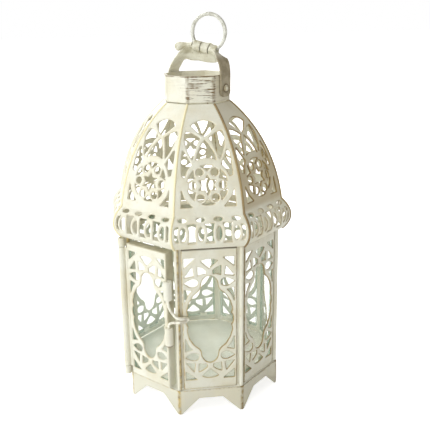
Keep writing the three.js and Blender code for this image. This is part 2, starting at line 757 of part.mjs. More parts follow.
function hangingRing() {
  const { centre, along, up } = ringSeat();
  const half = (knuckleSpacing * (knuckleCount - 1) + knuckleLength) / 2;
  const sag = ringRadius - Math.sqrt(ringRadius ** 2 - half ** 2);
  const geometry = new THREE.TorusGeometry(ringRadius, ringWireRadius, 6, 28);
  const facing = along.clone().cross(up);
  geometry.applyMatrix4(new THREE.Matrix4().makeBasis(along, up, facing));
  const middle = centre.clone().addScaledVector(up, ringRadius - sag / 2);
  geometry.translate(middle.x, middle.y, middle.z);
  return geometry;
}

// Assembly
const { paint, strap, glass, wire: wireFinish } = finishes;
place("base_skirt", baseSkirt(), paint);
place("floor_plate", floorPlate(), paint);

const fixedPost = cornerPost(true, true);
const panel = sidePanel();
const catchPanel = panel.add(latchCatch());
const pane = sideGlass();
const gore = domeGore();
faceNames.forEach((name, face) => {
  if (face === doorFace) {
    place("latch_post", cornerPost(false, true), paint, face);
  } else if (face === doorFace - 1) {
    place("hinge_post", hingePost(), paint, face);
  } else {
    place(`corner_post_${name}`, fixedPost, paint, face);
  }
  if (face !== doorFace) {
    place(`panel_${name}`, face === 0 ? catchPanel : panel, paint, face);
    place(`glass_${name}`, pane, glass, face);
  }
  place(`dome_gore_${name}`, gore, paint, face);
});

place("door_panel", doorPanel(), paint, doorFace);
place("door_glass", doorGlass(), glass, doorFace);
place("hinge_pin", hingePin(), wireFinish, doorFace);
place("latch_loop", latchLoop(), wireFinish);
place("roof_seat", roofSeat(), paint);
place("neck_collar", neckCollar(), paint);
place("handle_strap", handleStrap(), strap, strapFace);
place("rivet_front", rivet(1), wireFinish, strapFace);
place("rivet_back", rivet(-1), wireFinish, strapFace);
place("hanging_ring", hangingRing(), wireFinish, strapFace);

export default lantern;
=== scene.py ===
"""Dresses the octagonal candle lantern: pierced and painted sheet metal, green-tinted glass, a worn
strap with its ring, a bent latch wire and a plain pale studio. Shapes are worked out in millimetres."""
import math

import bmesh
import bpy
import numpy as np
from mathutils import Matrix, Vector


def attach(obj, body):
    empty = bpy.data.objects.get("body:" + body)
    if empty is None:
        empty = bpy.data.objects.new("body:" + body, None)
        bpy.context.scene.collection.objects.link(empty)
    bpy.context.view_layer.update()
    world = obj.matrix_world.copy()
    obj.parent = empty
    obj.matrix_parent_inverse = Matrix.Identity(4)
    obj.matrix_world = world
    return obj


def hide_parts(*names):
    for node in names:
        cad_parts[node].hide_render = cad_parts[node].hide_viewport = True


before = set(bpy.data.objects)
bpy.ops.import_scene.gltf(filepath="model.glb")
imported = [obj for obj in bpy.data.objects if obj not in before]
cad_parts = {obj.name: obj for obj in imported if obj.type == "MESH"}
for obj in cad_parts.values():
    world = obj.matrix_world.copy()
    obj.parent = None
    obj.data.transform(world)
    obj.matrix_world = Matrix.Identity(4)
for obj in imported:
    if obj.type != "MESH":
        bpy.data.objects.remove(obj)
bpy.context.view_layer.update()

# Camera: where the photograph was taken from, in millimetres and degrees
CAMERA_AT = (-47.0, -397.8, 241.0)
CAMERA_LOOKS_AT = (0.0, 0.0, 114.66)
CAMERA_LENS = 54.64
CAMERA_ROLL = -1.02
CAMERA_SHIFT = 0.0374

# Octagon and sheet, as in the solids
FACES = ["front", "front_right", "right", "back_right", "back", "back_left", "left", "front_left"]
DOOR_FACE = 7
STRAP_FACE = 1
HALF_STEP = math.pi / 8
COS, SIN, TAN = math.cos(HALF_STEP), math.sin(HALF_STEP), math.tan(HALF_STEP)
GAP = 0.3
SHEET = 0.8
BASE_RADIUS = 52.0
SKIRT_HEIGHT = 16.5
WALL_FLAT = BASE_RADIUS * COS - 1.2
WALL_BOTTOM = SKIRT_HEIGHT + GAP
WALL_TOP = 109.6
NOSE_RADIUS = 1.6
NOSE_FLAT = WALL_FLAT - SHEET / 2
NOSE_X = NOSE_FLAT * TAN
PANEL_HALF = NOSE_X - NOSE_RADIUS - 1.1
PANEL_MIDDLE = (WALL_BOTTOM + WALL_TOP) / 2
PANEL_HALF_HEIGHT = (WALL_TOP - WALL_BOTTOM) / 2
SIDE_RAIL = 1.7
FIELD_HALF_WIDTH = PANEL_HALF - SIDE_RAIL
FIELD_HALF_HEIGHT = PANEL_HALF_HEIGHT - 6.6
LEG_END = WALL_FLAT * TAN - 3.3
GLASS = 1.6
GLASS_LAP = 1.5

# Door, hinge and latch. The latch's nose is measured from the latch's middle
DOOR_FLAT = WALL_FLAT + 3.0
DOOR_LEFT = GAP + NOSE_RADIUS - NOSE_X
DOOR_RIGHT = WALL_FLAT * TAN - 5.4
DOOR_BOTTOM = WALL_BOTTOM + 1.0
DOOR_TOP = 106.6
DOOR_FLANGE = 6.5
DOOR_RAIL = 4.6
HINGE_RADIUS = WALL_FLAT / COS + 3.7
HINGE_X, HINGE_FLAT = -HINGE_RADIUS * SIN, HINGE_RADIUS * COS
HINGE_END = 5.5
HINGE_BORE = 1.18
BARREL_RADIUS = 2.2
LATCH_WIRE = 0.85
LATCH_X, LATCH_FLAT = DOOR_RIGHT + LATCH_WIRE + GAP, DOOR_FLAT + GAP
LATCH_HEIGHT = 68.8
LATCH_NOSE, LATCH_NOSE_HALF = -3.4, 1.0
LATCH_BOW = 2.1
LATCH_SWELL = 0.14
KNUCKLE_LENGTH, KNUCKLE_SPACE = 12.0, 18.2
KNUCKLE_RADIUS, KNUCKLE_BORE = 2.6, 0.93

# Dome and eave: circumradius and height of the outer sheet, and its thickness
EAVE = ((54.2, 110.0), (64.5, 119.65), (53.1, 129.3))
DOME = ((53.1, 129.3), (47.6, 167.0), (20.5, 188.6))
DOME_SHEET = 1.1
RIDGE_GAP = 0.2
NECK_RADIUS = 20.5
NECK_TOP = 188.6 + GAP + 15.3

# Medallion and eave loops
MEDALLION = 146.4
LEAN = 0.94
LOOP_MIDDLE = 120.1
LOOP_PITCH = 10.3
LOOP_TALLER = 1.15

# Strap, rivets, and the ring in its rolled edge
STRAP_WIDTH = 10.0
STRAP_THICK = 1.0
STRAP_ASIDE = 2.2
STRAP_FLAT = NECK_RADIUS * COS + GAP + STRAP_THICK / 2
CROWN_RISE = 12
CROWN_TWIST = math.radians(-60)
RIVET_HEIGHT = 196.3
RIVETS = (("rivet_front", STRAP_FACE, 1), ("rivet_back", STRAP_FACE + 4, -1))
RING_RADIUS = 10.4
RING_WIRE = 1.12
ROLL_PITCH, ROLL_LENGTH, ROLL_BORE, ROLL_WALL = 5.2, 4.5, 2.45, 0.7

# Distance between grid points of the pierced sheets and of the panes
SHEET_STEP, PANE_STEP = 0.45, 1.1


def turned(points, face):
    """Points turned about the lantern's axis by a number of faces."""
    angle = face * 2 * HALF_STEP
    c, s = math.cos(angle), math.sin(angle)
    out = np.array(points, dtype=float)
    x, y = out[..., 0].copy(), out[..., 1].copy()
    out[..., 0] = c * x - s * y
    out[..., 1] = s * x + c * y
    return out


def unit(vectors):
    """Vectors brought to length one."""
    return vectors / np.linalg.norm(vectors, axis=-1, keepdims=True)


def run_length(path):
    """Length along a path up to each of its points."""
    return np.concatenate([[0], np.cumsum(np.linalg.norm(np.diff(path, axis=0), axis=1))])


def round_angles(count):
    """Evenly spaced angles of a full turn."""
    return np.arange(count) * 2 * math.pi / count


def smoothstep(value, low, high):
    """A smooth rise from 0 at low to 1 at high."""
    share = np.clip((value - low) / (high - low), 0, 1)
    return share * share * (3 - 2 * share)


def catmull_rom(a, b, c, d, t):
    """The Catmull-Rom cubic from b to c, with a before them and d after them."""
    return 0.5 * (2 * b + (c - a) * t + (2 * a - 5 * b + 4 * c - d) * t**2
                  + (3 * b - a - 3 * c + d) * t**3)


def spline(points, samples=10):
    """A smooth open curve through points, each stretch a Catmull-Rom cubic."""
    p = np.asarray(points, dtype=float)
    p = np.concatenate([2 * p[:1] - p[1:2], p, 2 * p[-1:] - p[-2:-1]])
    t = (np.arange(samples) / samples)[:, None]
    out = [catmull_rom(*p[k - 1:k + 3], t) for k in range(1, len(p) - 2)]
    return np.concatenate(out + [p[-2:-1]])


# Meshes

def build(name, shells, face=0, body="lantern", replaces=(), finish=None):
    """A mesh object from (points, faces, values) shells in millimetres, drawn on the front face and
    turned to another. Faces are arrays of equal-sided polygons."""
    points, faces, values = merged(shells)
    mesh = bpy.data.meshes.new(name)
    mesh.vertices.add(len(points))
    mesh.vertices.foreach_set("co", (turned(points, face) * 0.001).astype(np.float32).ravel())
    loops = np.concatenate([f.ravel() for f in faces])
    sizes = np.concatenate([np.full(len(f), f.shape[1]) for f in faces])
    mesh.loops.add(len(loops))
    mesh.loops.foreach_set("vertex_index", loops.astype(np.int32))
    mesh.polygons.add(len(sizes))
    starts = np.concatenate([[0], np.cumsum(sizes)[:-1]])
    mesh.polygons.foreach_set("loop_start", starts.astype(np.int32))
    mesh.polygons.foreach_set("use_smooth", np.ones(len(sizes), dtype=bool))
    mesh.update(calc_edges=True)
    for key, value in values.items():
        layer = mesh.attributes.new(key, "FLOAT", "POINT")
        layer.data.foreach_set("value", value.astype(np.float32))
    mesh.validate()
    mesh.set_sharp_from_angle(angle=math.radians(35))
    placed(bpy.data.objects.new(name, mesh), body, replaces, finish)


def placed(thing, body, replaces, finish):
    """Links a piece, lets it ride on a body and gives it its finish."""
    bpy.context.collection.objects.link(thing)
    thing.data.materials.append(finish)
    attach(thing, body)
    if replaces:
        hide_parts(*replaces)


def merged(parts):
    """Several (points, faces, values) shells as one set of arrays."""
    points, faces, values, start = [], [], {}, 0
    for part in parts:
        points.append(part[0])
        faces.extend(f + start for f in part[1])
        for key, value in (part[2] if len(part) > 2 else {}).items():
            values.setdefault(key, []).append(value)
        start += len(part[0])
    return np.concatenate(points), faces, {k: np.concatenate(v) for k, v in values.items()}


def marked(shell, **marks):
    """A shell with the same value of each mark at all its points."""
    points, faces = shell[:2]
    return points, faces, {key: np.full(len(points), value) for key, value in marks.items()}


def tube(rings, closed=False):
    """Rings of points, rows by points round, joined into a closed skin; flat fans close open ends."""
    rows, around = rings.shape[:2]
    points = rings.reshape(-1, 3)
    row = np.arange(rows if closed else rows - 1)[:, None]
    col = np.arange(around)[None, :]
    a = row * around + col
    b = row * around + (col + 1) % around
    c = ((row + 1) % rows) * around + (col + 1) % around
    d = ((row + 1) % rows) * around + col
    faces = [np.stack([a, b, c, d], -1).reshape(-1, 4)]
    if not closed:
        points = np.concatenate([points, rings[0].mean(0)[None], rings[-1].mean(0)[None]])
        first, last = rows * around, rows * around + 1
        ring = np.arange(around)
        faces.append(np.stack([np.full(around, first), (ring + 1) % around, ring], -1))
        base = (rows - 1) * around
        faces.append(np.stack([np.full(around, last), base + ring, base + (ring + 1) % around], -1))
    return points, faces


def pipe(path, radius, around=16, up=(0.0, 0.0, 1.0), closed=False):
    """A round wire: a circle of the given radius carried square to the path. Its side is square to the
    path and to up."""
    along = np.gradient(np.concatenate([path[-2:], path, path[:2]]), axis=0)[2:-2]
    if not closed:
        along = np.gradient(path, axis=0)
    along = unit(along)
    side = unit(np.cross(along, up))
    angle = round_angles(around)[None, :, None]
    spin = np.cos(angle) * side[:, None] + np.sin(angle) * np.cross(side, along)[:, None]
    radius = np.broadcast_to(radius, (len(path),))[:, None, None]
    return tube(path[:, None] + radius * spin, closed)


def lathe(profile, around, centre, along=(0, 0, 1), first=(1, 0, 0), second=(0, 1, 0), closed=False):
    """A profile of radii and heights turned about an axis: at each of its points a circle of that radius,
    spanned by the first and second unit vectors, moved along the axis by the height."""
    angle = round_angles(around)[:, None]
    spin = np.cos(angle) * first + np.sin(angle) * second
    return tube(np.array([centre + z * np.array(along) + r * spin for r, z in profile]), closed)


def upright(x, flat, radius, bottom, top, around=20, bevel=0.35, bore=0.0):
    """A round upright bar with bevelled ends, or with a bore a barrel, at x and a flat distance."""
    profile = [(radius - bevel, bottom), (radius, bottom + bevel), (radius, top - bevel),
               (radius - bevel, top)]
    if bore:
        profile += [(bore, top), (bore, bottom)]
    return lathe(profile, around, (x, -flat, 0), closed=bool(bore))


def block(low, high, bevel):
    """A box with softened edges: rounded rectangles stacked upwards, smaller at both ends."""
    low, high = np.array(low, dtype=float), np.array(high, dtype=float)
    middle, half = (low + high) / 2, (high - low) / 2
    bevel = min(bevel, half.min() * 0.9)
    quarter = np.repeat(np.arange(4) * math.pi / 2, 4)
    corner = quarter + np.tile(np.linspace(0, math.pi / 2, 4), 4)
    sign = np.sign(np.column_stack([np.cos(quarter + math.pi / 4), np.sin(quarter + math.pi / 4)]))
    rings = []
    for lift in (0.0, math.pi / 4, math.pi / 2):
        arc = bevel * math.sin(lift) * np.column_stack([np.cos(corner), np.sin(corner)])
        rings.append((sign * (half[:2] - bevel) + arc, half[2] - bevel * (1 - math.cos(lift))))
    stack = [np.column_stack([r, np.full(len(r), -z)]) for r, z in rings]
    stack += [np.column_stack([r, np.full(len(r), z)]) for r, z in reversed(rings)]
    return tube(np.array(stack) + middle)


# Fretwork. Openings are this much wider all round than the drawing, so that the bands stay slim
SLIMMER = 0.15


def drawn(points, samples=5):
    """A closed outline. A point given with a third value is passed through smoothly, others are
    corners; smooth runs follow a Catmull-Rom spline between corners."""
    flat = [np.array(p[:2], dtype=float) for p in points]
    smooth = [len(p) > 2 for p in points]
    count = len(flat)
    out = []
    for k in range(count):
        a, b = flat[k], flat[(k + 1) % count]
        if not smooth[k] and not smooth[(k + 1) % count]:
            out.append(a)
            continue
        before = flat[k - 1] if smooth[k] else a
        after = flat[(k + 2) % count] if smooth[(k + 1) % count] else b
        out += [catmull_rom(before, a, b, after, t) for t in np.arange(samples) / samples]
    return np.array(out)


def oval(x, y, half_width, half_height):
    """An ellipse as an outline."""
    angle = round_angles(20)
    return np.column_stack([x + half_width * np.cos(angle), y + half_height * np.sin(angle)])


def mirrored(points, x=1, y=1):
    """A drawing's points mirrored across and up."""
    return [(p[0] * x, p[1] * y) + tuple(p[2:]) for p in points]


def both_sides(half):
    """A half outline, from its lowest to its highest point, with its mirror image."""
    return list(half) + mirrored([p for p in reversed(half) if p[0] > 0], -1)


def outside_distance(spots, outline):
    """Distance of each spot from an outline, negative inside it."""
    a = outline
    b = np.roll(outline, -1, axis=0)
    edge = b - a
    away = spots[:, None] - a[None]
    share = np.clip((away * edge).sum(-1) / np.maximum((edge**2).sum(-1), 1e-12), 0, 1)
    gap = np.linalg.norm(away - share[..., None] * edge, axis=-1).min(1)
    y = spots[:, None, 1]
    crosses = (a[None, :, 1] > y) != (b[None, :, 1] > y)
    with np.errstate(divide="ignore", invalid="ignore"):
        reach = a[None, :, 0] + (y - a[None, :, 1]) * edge[None, :, 0] / edge[None, :, 1]
    inside = (crosses & (spots[:, None, 0] < reach)).sum(1) % 2 == 1
    return np.where(inside, -gap, gap)


def cut_field(u, v, outlines, border):
    """Distance to the nearest edge of the sheet over a grid: positive on metal, negative in openings."""
    spots = np.column_stack([u.ravel(), v.ravel()])
    field = border.ravel().copy()
    margin = 2.5
    for outline in outlines:
        low, high = outline.min(0) - margin, outline.max(0) + margin
        near = ((spots > low) & (spots < high)).all(1)
        field[near] = np.minimum(field[near], outside_distance(spots[near], outline))
    return field.reshape(u.shape)


def trimmed(field, u, v):
    """Marching squares: the part of a grid where the field is positive, as flat points and polygons,
    with the open edges in order."""
    solid = field > 0
    index = np.full(field.shape, -1)
    index[solid] = np.arange(solid.sum())
    spots = [np.column_stack([u[solid], v[solid], field[solid]])]
    count = solid.sum()
    crossings = []
    for axis in (1, 0):
        near = (slice(None), slice(None, -1)) if axis else (slice(None, -1), slice(None))
        far = (slice(None), slice(1, None)) if axis else (slice(1, None), slice(None))
        cross = solid[near] != solid[far]
        with np.errstate(divide="ignore", invalid="ignore"):
            share = np.clip(field[near] / (field[near] - field[far]), 0.06, 0.94)
        ids = np.full(cross.shape, -1)
        ids[cross] = count + np.arange(cross.sum())
        count += cross.sum()
        spots.append(np.column_stack([
            (u[near] + share * (u[far] - u[near]))[cross], (v[near] + share * (v[far] - v[near]))[cross],
            np.zeros(cross.sum())]))
        crossings.append(ids)
    across, upward = crossings
    corner = [index[:-1, :-1], index[:-1, 1:], index[1:, 1:], index[1:, :-1]]
    side = [across[:-1], upward[:, 1:], across[1:], upward[:, :-1]]
    code = sum((c >= 0).astype(int) << k for k, c in enumerate(corner))
    faces = []
    for case in range(1, 16):
        cells = code == case
        if not cells.any():
            continue
        ring = []
        for k in range(4):
            if case >> k & 1:
                ring.append(corner[k][cells])
            if (case >> k & 1) != (case >> (k + 1) % 4 & 1):
                ring.append(side[k][cells])
        faces.append(np.stack(ring, -1))
    return np.concatenate(spots), faces


def open_edges(faces):
    """Directed edges that belong to one polygon only."""
    pairs = np.concatenate([np.stack([f, np.roll(f, -1, axis=1)], -1).reshape(-1, 2) for f in faces])
    low, high = pairs.min(1), pairs.max(1)
    key = low.astype(np.int64) * (pairs.max() + 1) + high
    _, first, times = np.unique(key, return_index=True, return_counts=True)
    return pairs[first[times == 1]]


def sheet_of(field, u, v, surface, thick, soften, values=None):
    """A closed sheet: the trimmed grid laid on a surface, its back a thickness behind, walls between.
    Within the softening distance of an edge the front drops by most of a quarter circle, and the back
    rises by a little of it."""
    spots, faces = trimmed(field, u, v)
    gone = np.clip(1 - spots[:, 2] / soften, 0, 1)
    drop = soften * (1 - np.sqrt(1 - gone**2)) * 0.8
    front = surface(spots[:, 0], spots[:, 1], -drop)
    back = surface(spots[:, 0], spots[:, 1], np.full(len(spots), -thick) + drop * 0.3)
    count = len(spots)
    rim = open_edges(faces)
    walls = np.stack([rim[:, 1], rim[:, 0], rim[:, 0] + count, rim[:, 1] + count], -1)
    skins = list(faces) + [f[:, ::-1] + count for f in faces] + [walls]
    fields = {"edge": np.tile(spots[:, 2], 2)}
    for key, value in (values or {}).items():
        fields[key] = np.tile(value(spots[:, 0], spots[:, 1]), 2)
    return np.concatenate([front, back]), skins, fields


# Drawing of a panel: the openings right of the middle line and above the middle
CORNER = [(8.6, 39.8), (14.9, 34.4), (14.9, 39.8)]
SIDE = [(9.4, 28.9), (14.7, 28.2), (10.1, 34.2)]
FAN = [(2.3, 29.7), (4.4, 29.8, 1), (6.7, 29.1), (6.9, 34.5), (4.4, 33.4, 1), (2.1, 31.7)]
EYE = [(6.9, 24.4, 1), (7.7, 22.6, 1), (11, 22.0, 1), (14.9, 24.5), (11, 26.5, 1), (8, 26.3, 1)]
SHOULDER = [(10.8, 19.3), (13.1, 16.6, 1), (14.9, 12.0), (14.9, 20.2)]
CROWN = [(0, 33.4), (2.2, 35.4, 1), (4.7, 37.9), (2.4, 38.7, 1), (0, 38.9, 1)]
VASE = [(0, 28.4), (1.8, 27.9, 1), (3.4, 26.6, 1), (4.5, 24.6, 1), (4.9, 22.6), (5.3, 20.6, 1),
        (6.6, 18.6, 1), (8.2, 17.3), (9.6, 15.9, 1), (10.9, 13.8), (12.1, 11.8, 1), (12.9, 8.9),
        (13.4, 6.6, 1), (12.7, 3.7), (13.7, 2.2, 1), (14.0, 0, 1)]


def panel_outlines(stretch_x, stretch_y):
    """All the openings of a panel, about its middle, the window first."""
    shapes = [both_sides(mirrored(VASE, 1, -1) + VASE[-2::-1])]
    for up in (-1, 1):
        shapes.append(mirrored(both_sides(CROWN), 1, up))
        for side in (-1, 1):
            shapes += [mirrored(one, side, up) for one in (CORNER, SIDE, FAN, EYE, SHOULDER)]
    return [drawn(s) * (stretch_x, stretch_y) for s in shapes]


def grid(left, right, bottom, top, step):
    """An even grid over a rectangle, a step wider on every side."""
    x = np.arange(left - 1.5 * step, right + 1.5 * step, step)
    y = np.arange(bottom - 1.5 * step, top + 1.5 * step, step)
    return np.meshgrid(x, y)


def inset(x, y, half_width, half_height):
    """Distance inwards from the rim of a rectangle about the origin."""
    return np.minimum(half_width - np.abs(x), half_height - np.abs(y))


def upright_face(flat, middle_x, middle_z):
    """A flat upright surface: across and up from its middle, and out from a flat distance."""
    return lambda x, y, out: np.column_stack([x + middle_x, -(flat + out), y + middle_z])


def pierced_plate(half_width, half_height, field_half_width, field_half_height, flat, middle_x,
                  middle_z):
    """A flat pierced plate whose outer face is a flat distance from the axis, marked with the distances
    from its window and from its sides."""
    u, v = grid(-half_width, half_width, -half_height, half_height, SHEET_STEP)
    border = inset(u, v, half_width, half_height)
    outlines = panel_outlines(field_half_width / FIELD_HALF_WIDTH, field_half_height / FIELD_HALF_HEIGHT)
    field = np.minimum(cut_field(u, v, outlines, border) - SLIMMER, border)
    marks = {"rim": lambda x, y: np.abs(outside_distance(np.column_stack([x, y]), outlines[0])),
             "side": lambda x, y: inset(x, y, half_width, half_height)}
    return sheet_of(field, u, v, upright_face(flat, middle_x, middle_z), SHEET, soften=0.7, values=marks)


# Dome profile

def bent(curve, share):
    """A quadratic Bezier curve through radius and height."""
    a, b, c = [np.array(p) for p in curve]
    share = share[:, None]
    return (1 - share)**2 * a + 2 * share * (1 - share) * b + share**2 * c


PROFILE = np.concatenate([bent(EAVE, np.linspace(0, 1, 60)), bent(DOME, np.linspace(0, 1, 160))[1:]])
OUTLINE_FLAT = np.column_stack([PROFILE[:, 0] * COS, PROFILE[:, 1]])
LENGTH = run_length(OUTLINE_FLAT)


def along_dome(height):
    """Length along the profile up to a height."""
    return np.interp(height, PROFILE[:, 1], LENGTH)


def radius_at(length):
    """Circumradius of the dome at a length along the profile."""
    return np.interp(length, LENGTH, PROFILE[:, 0])


def dome_surface(x, length, out):
    """A point of a dome face: across, up along the profile and out square to it."""
    height = np.interp(length, LENGTH, PROFILE[:, 1])
    slope = np.gradient(OUTLINE_FLAT, LENGTH, axis=0)
    run, rise = [np.interp(length, LENGTH, slope[:, k]) for k in (0, 1)]
    size = np.hypot(run, rise)
    return np.column_stack([x, -(radius_at(length) * COS + out * rise / size), height - out * run / size])


HEAD = [(0, 172.2), (2.2, 173.4, 1), (4.6, 175.4, 1), (6.9, 177.6), (4.6, 179.3, 1), (0, 180.3, 1)]
BASE = [(0, 161.2, 1), (3, 160.9, 1), (5.6, 160.0), (4.6, 163.2, 1), (2.8, 166.6, 1), (0, 170.2)]
LEAF = [(2.6, 171.1), (4.2, 169.2, 1), (5.7, 166, 1), (6.9, 162.9, 1), (7.8, 160.4), (9.2, 162.6, 1),
        (10.5, 166, 1), (11.1, 169.5, 1), (11.1, 172.5, 1), (10.1, 174.8), (6.4, 173.7, 1)]
SLIT = [(8.6, 157.5), (11.2, 154.8, 1), (13.0, 151.2), (14.4, 151.8), (14.3, 158, 1), (13.3, 164.2, 1),
        (12.3, 164.9), (10.6, 161.2, 1)]
LOWER = [(9.4, 134.6), (15.7, 134.5), (15.3, 139, 1), (15.1, 143.6), (13.4, 139.3, 1)]


def medallion_outlines():
    """Six-pointed star, round petals and the cusps between them."""
    def polar(radius, angle):
        return (radius * math.cos(angle), MEDALLION + radius * LEAN * math.sin(angle))
    star = [polar(3.0 if k % 2 else 5.5, (k + 3) * math.pi / 6) for k in range(12)]
    shapes = [drawn(star)]
    for k in range(6):
        angle, between = k * math.pi / 3, k * math.pi / 3 + math.pi / 6
        shapes.append(oval(*polar(8.6, angle), 1.95, 1.9))
        inner = [polar(8.3, between), polar(10.4, between - 0.2) + (1,), polar(11.5, between - 0.31),
                 polar(11.5, between) + (1,), polar(11.5, between + 0.31),
                 polar(10.4, between + 0.2) + (1,)]
        shapes.append(drawn(inner))
    return shapes


def eave_outlines():
    """Upright loops' eyes, the waisted gaps between the loops, end slits, and peepholes above."""
    shapes = []
    for k in range(4):
        x = (k - 1.5) * LOOP_PITCH
        shapes.append(oval(x, LOOP_MIDDLE, 1.6, 4.2))
        shapes.append(oval(x, 127.9, 2.4, 0.95))
    half = [(0, -5.1), (2.4, -5.1), (1.7, -2.6, 1), (1.5, 0, 1), (1.7, 2.6, 1), (2.6, 5.1), (0, 5.1)]
    gap_shape = drawn(both_sides(half)) * (1, LOOP_TALLER)
    for k in range(3):
        shapes.append(gap_shape + ((k - 1) * LOOP_PITCH, LOOP_MIDDLE))
    end = 1.5 * LOOP_PITCH + 3.4
    slit = [(-0.9, -4.0), (0.6, -3.8, 1), (1.3, -2.6, 1), (1.4, 0, 1), (1.3, 2.6, 1), (0.6, 3.8, 1),
            (-0.9, 4.2), (-0.1, 2, 1), (0.1, 0, 1), (-0.1, -2, 1)]
    for side in (-1, 1):
        shapes.append(drawn(mirrored(slit, side, 1)) * (1, LOOP_TALLER) + (side * end, LOOP_MIDDLE))
    return shapes


def gore_sheet():
    """One pierced face of the dome with its eave, as a closed sheet, marked with the distance from the
    ridges beside it."""
    shapes = [drawn(both_sides(HEAD)), drawn(both_sides(BASE))] + medallion_outlines() + eave_outlines()
    for side in (-1, 1):
        shapes += [drawn(mirrored(one, side, 1)) for one in (LEAF, SLIT, LOWER)]
    for shape in shapes:
        shape[:, 1] = along_dome(shape[:, 1])
    widest = PROFILE[:, 0].max() * SIN
    u, v = grid(-widest, widest, 0, LENGTH[-1], SHEET_STEP)

    def ridge(x, y):
        return radius_at(y) * SIN - RIDGE_GAP - np.abs(x)

    border = np.minimum(ridge(u, v), np.minimum(v, LENGTH[-1] - v))
    field = np.minimum(cut_field(u, v, shapes, border) - SLIMMER, border)
    return sheet_of(field, u, v, dome_surface, DOME_SHEET, soften=0.75, values={"side": ridge})


# Finishes

class Value:
    """A number in a material: plain arithmetic on it adds the matching Math nodes."""

    def __init__(self, maker, socket):
        self.maker, self.socket = maker, socket

    def __add__(self, other):
        return self.maker.math("ADD", self, other)

    def __sub__(self, other):
        return self.maker.math("SUBTRACT", self, other)

    def __rsub__(self, other):
        return self.maker.math("SUBTRACT", other, self)

    def __mul__(self, other):
        return self.maker.math("MULTIPLY", self, other)

    def least(self, other):
        return self.maker.math("MINIMUM", self, other)


class Finish:
    """The nodes of one material or of the world. node() adds any node: its type, its settings, then its
    sockets by name or number."""

    def __init__(self, owner, output="ShaderNodeOutputMaterial"):
        owner.use_nodes = True
        self.owner, self.tree = owner, owner.node_tree
        self.tree.nodes.clear()
        self.output = self.tree.nodes.new(output)

    def node(self, kind, settings=None, inputs=None, out=0):
        made = self.tree.nodes.new(kind)
        for key, value in (settings or {}).items():
            setattr(made, key, value)
        for key, value in (inputs or {}).items():
            if isinstance(value, Value):
                self.tree.links.new(value.socket, made.inputs[key])
            else:
                made.inputs[key].default_value = value
        return Value(self, made.outputs[out])

    def math(self, operation, *values):
        return self.node("ShaderNodeMath", {"operation": operation}, dict(enumerate(values)))

    def span(self, operation, *vectors):
        """A sum on vectors that gives a number."""
        return self.node("ShaderNodeVectorMath", {"operation": operation}, dict(enumerate(vectors)),
                         out="Value")

    def where(self):
        return self.node("ShaderNodeTexCoord", out="Object")

    def millimetres(self):
        """Across, back and up in millimetres."""
        split = self.node("ShaderNodeSeparateXYZ", {}, {0: self.where()}).socket.node
        return [Value(self, split.outputs[k]) * 1000.0 for k in range(3)]

    def noise(self, size_mm, detail=3.0, roughness=0.55, stretch=(1, 1, 1)):
        place = self.node("ShaderNodeMapping", {}, {
            "Vector": self.where(), "Scale": tuple(s * 1000.0 for s in stretch)})
        return self.node("ShaderNodeTexNoise", {}, {
            "Vector": place, "Scale": 1.0 / size_mm, "Detail": detail, "Roughness": roughness})

    def attribute(self, name):
        return self.node("ShaderNodeAttribute", {"attribute_name": name}, out="Fac")

    def step(self, value, low, high, to_low=0.0, to_high=1.0):
        """A smooth change over low to high. With low above high it runs the other way."""
        return self.node("ShaderNodeMapRange", {"interpolation_type": "SMOOTHSTEP"}, {
            "Value": value, "From Min": low, "From Max": high, "To Min": to_low, "To Max": to_high})

    def mix(self, share, first, second):
        """A share of the second colour over the first."""
        first, second = [c if isinstance(c, Value) else (*c, 1.0) for c in (first, second)]
        return self.node("ShaderNodeMix", {"data_type": "RGBA"}, {0: share, 6: first, 7: second}, out=2)

    def bump(self, height, strength, distance_mm):
        return self.node("ShaderNodeBump", {}, {
            "Height": height, "Strength": strength, "Distance": distance_mm * 0.001})

    def surface(self, **inputs):
        sockets = {key.replace("_", " "): value for key, value in inputs.items()}
        return self.finish(self.node("ShaderNodeBsdfPrincipled", {}, sockets))

    def finish(self, shader):
        self.tree.links.new(shader.socket, self.output.inputs[0])
        return self.owner


def srgb(red, green, blue):
    """A colour from its 0 to 255 screen values."""
    def channel(value):
        value /= 255
        return value / 12.92 if value <= 0.04045 else ((value + 0.055) / 1.055)**2.4
    return tuple(channel(v) for v in (red, green, blue))


CREAM = srgb(232, 230, 214)
CREAM_WARM = srgb(222, 216, 192)
CREAM_GREY = srgb(212, 209, 193)
RUB_GOLD = srgb(206, 182, 116)
RUB_OCHRE = srgb(180, 153, 94)
RUB_BROWN = srgb(146, 121, 76)
# A scratch brown, which is also the painted shade that the rubs take on the right
SCRATCH_AND_SHADE_BROWN = srgb(116, 94, 56)
# Painted shadow under the eave's overhang
EAVE_SHADOW_PAINT = srgb(84, 75, 54)
# How hands rub the paint: it grows from a share at the first x to full at the second
HANDLED = {"gore": (-4.0, 6.0, 0.25), "bead": (-4.0, 6.0, 0.1), "neck": (-15.0, -8.0, 0.15)}
HANDLED_ELSEWHERE = (-26.0, -14.0, 0.35)

# A look that stops at a ridge changes over this distance from it
AT_RIDGE = (0.3, 1.2)


def octagon_spot(finish, x, y):
    """Distance along the face from the nearest corner of the octagon, and distance of that face from the
    axis. The angle is folded into the sixteenth of a turn between a corner and a face's middle."""
    folded = finish.math("PINGPONG", finish.math("ARCTAN2", y, x), HALF_STEP)
    reach = finish.span("LENGTH", finish.node("ShaderNodeCombineXYZ", {}, {0: x, 1: y}))
    return (HALF_STEP - folded) * reach, finish.math("COSINE", folded) * reach


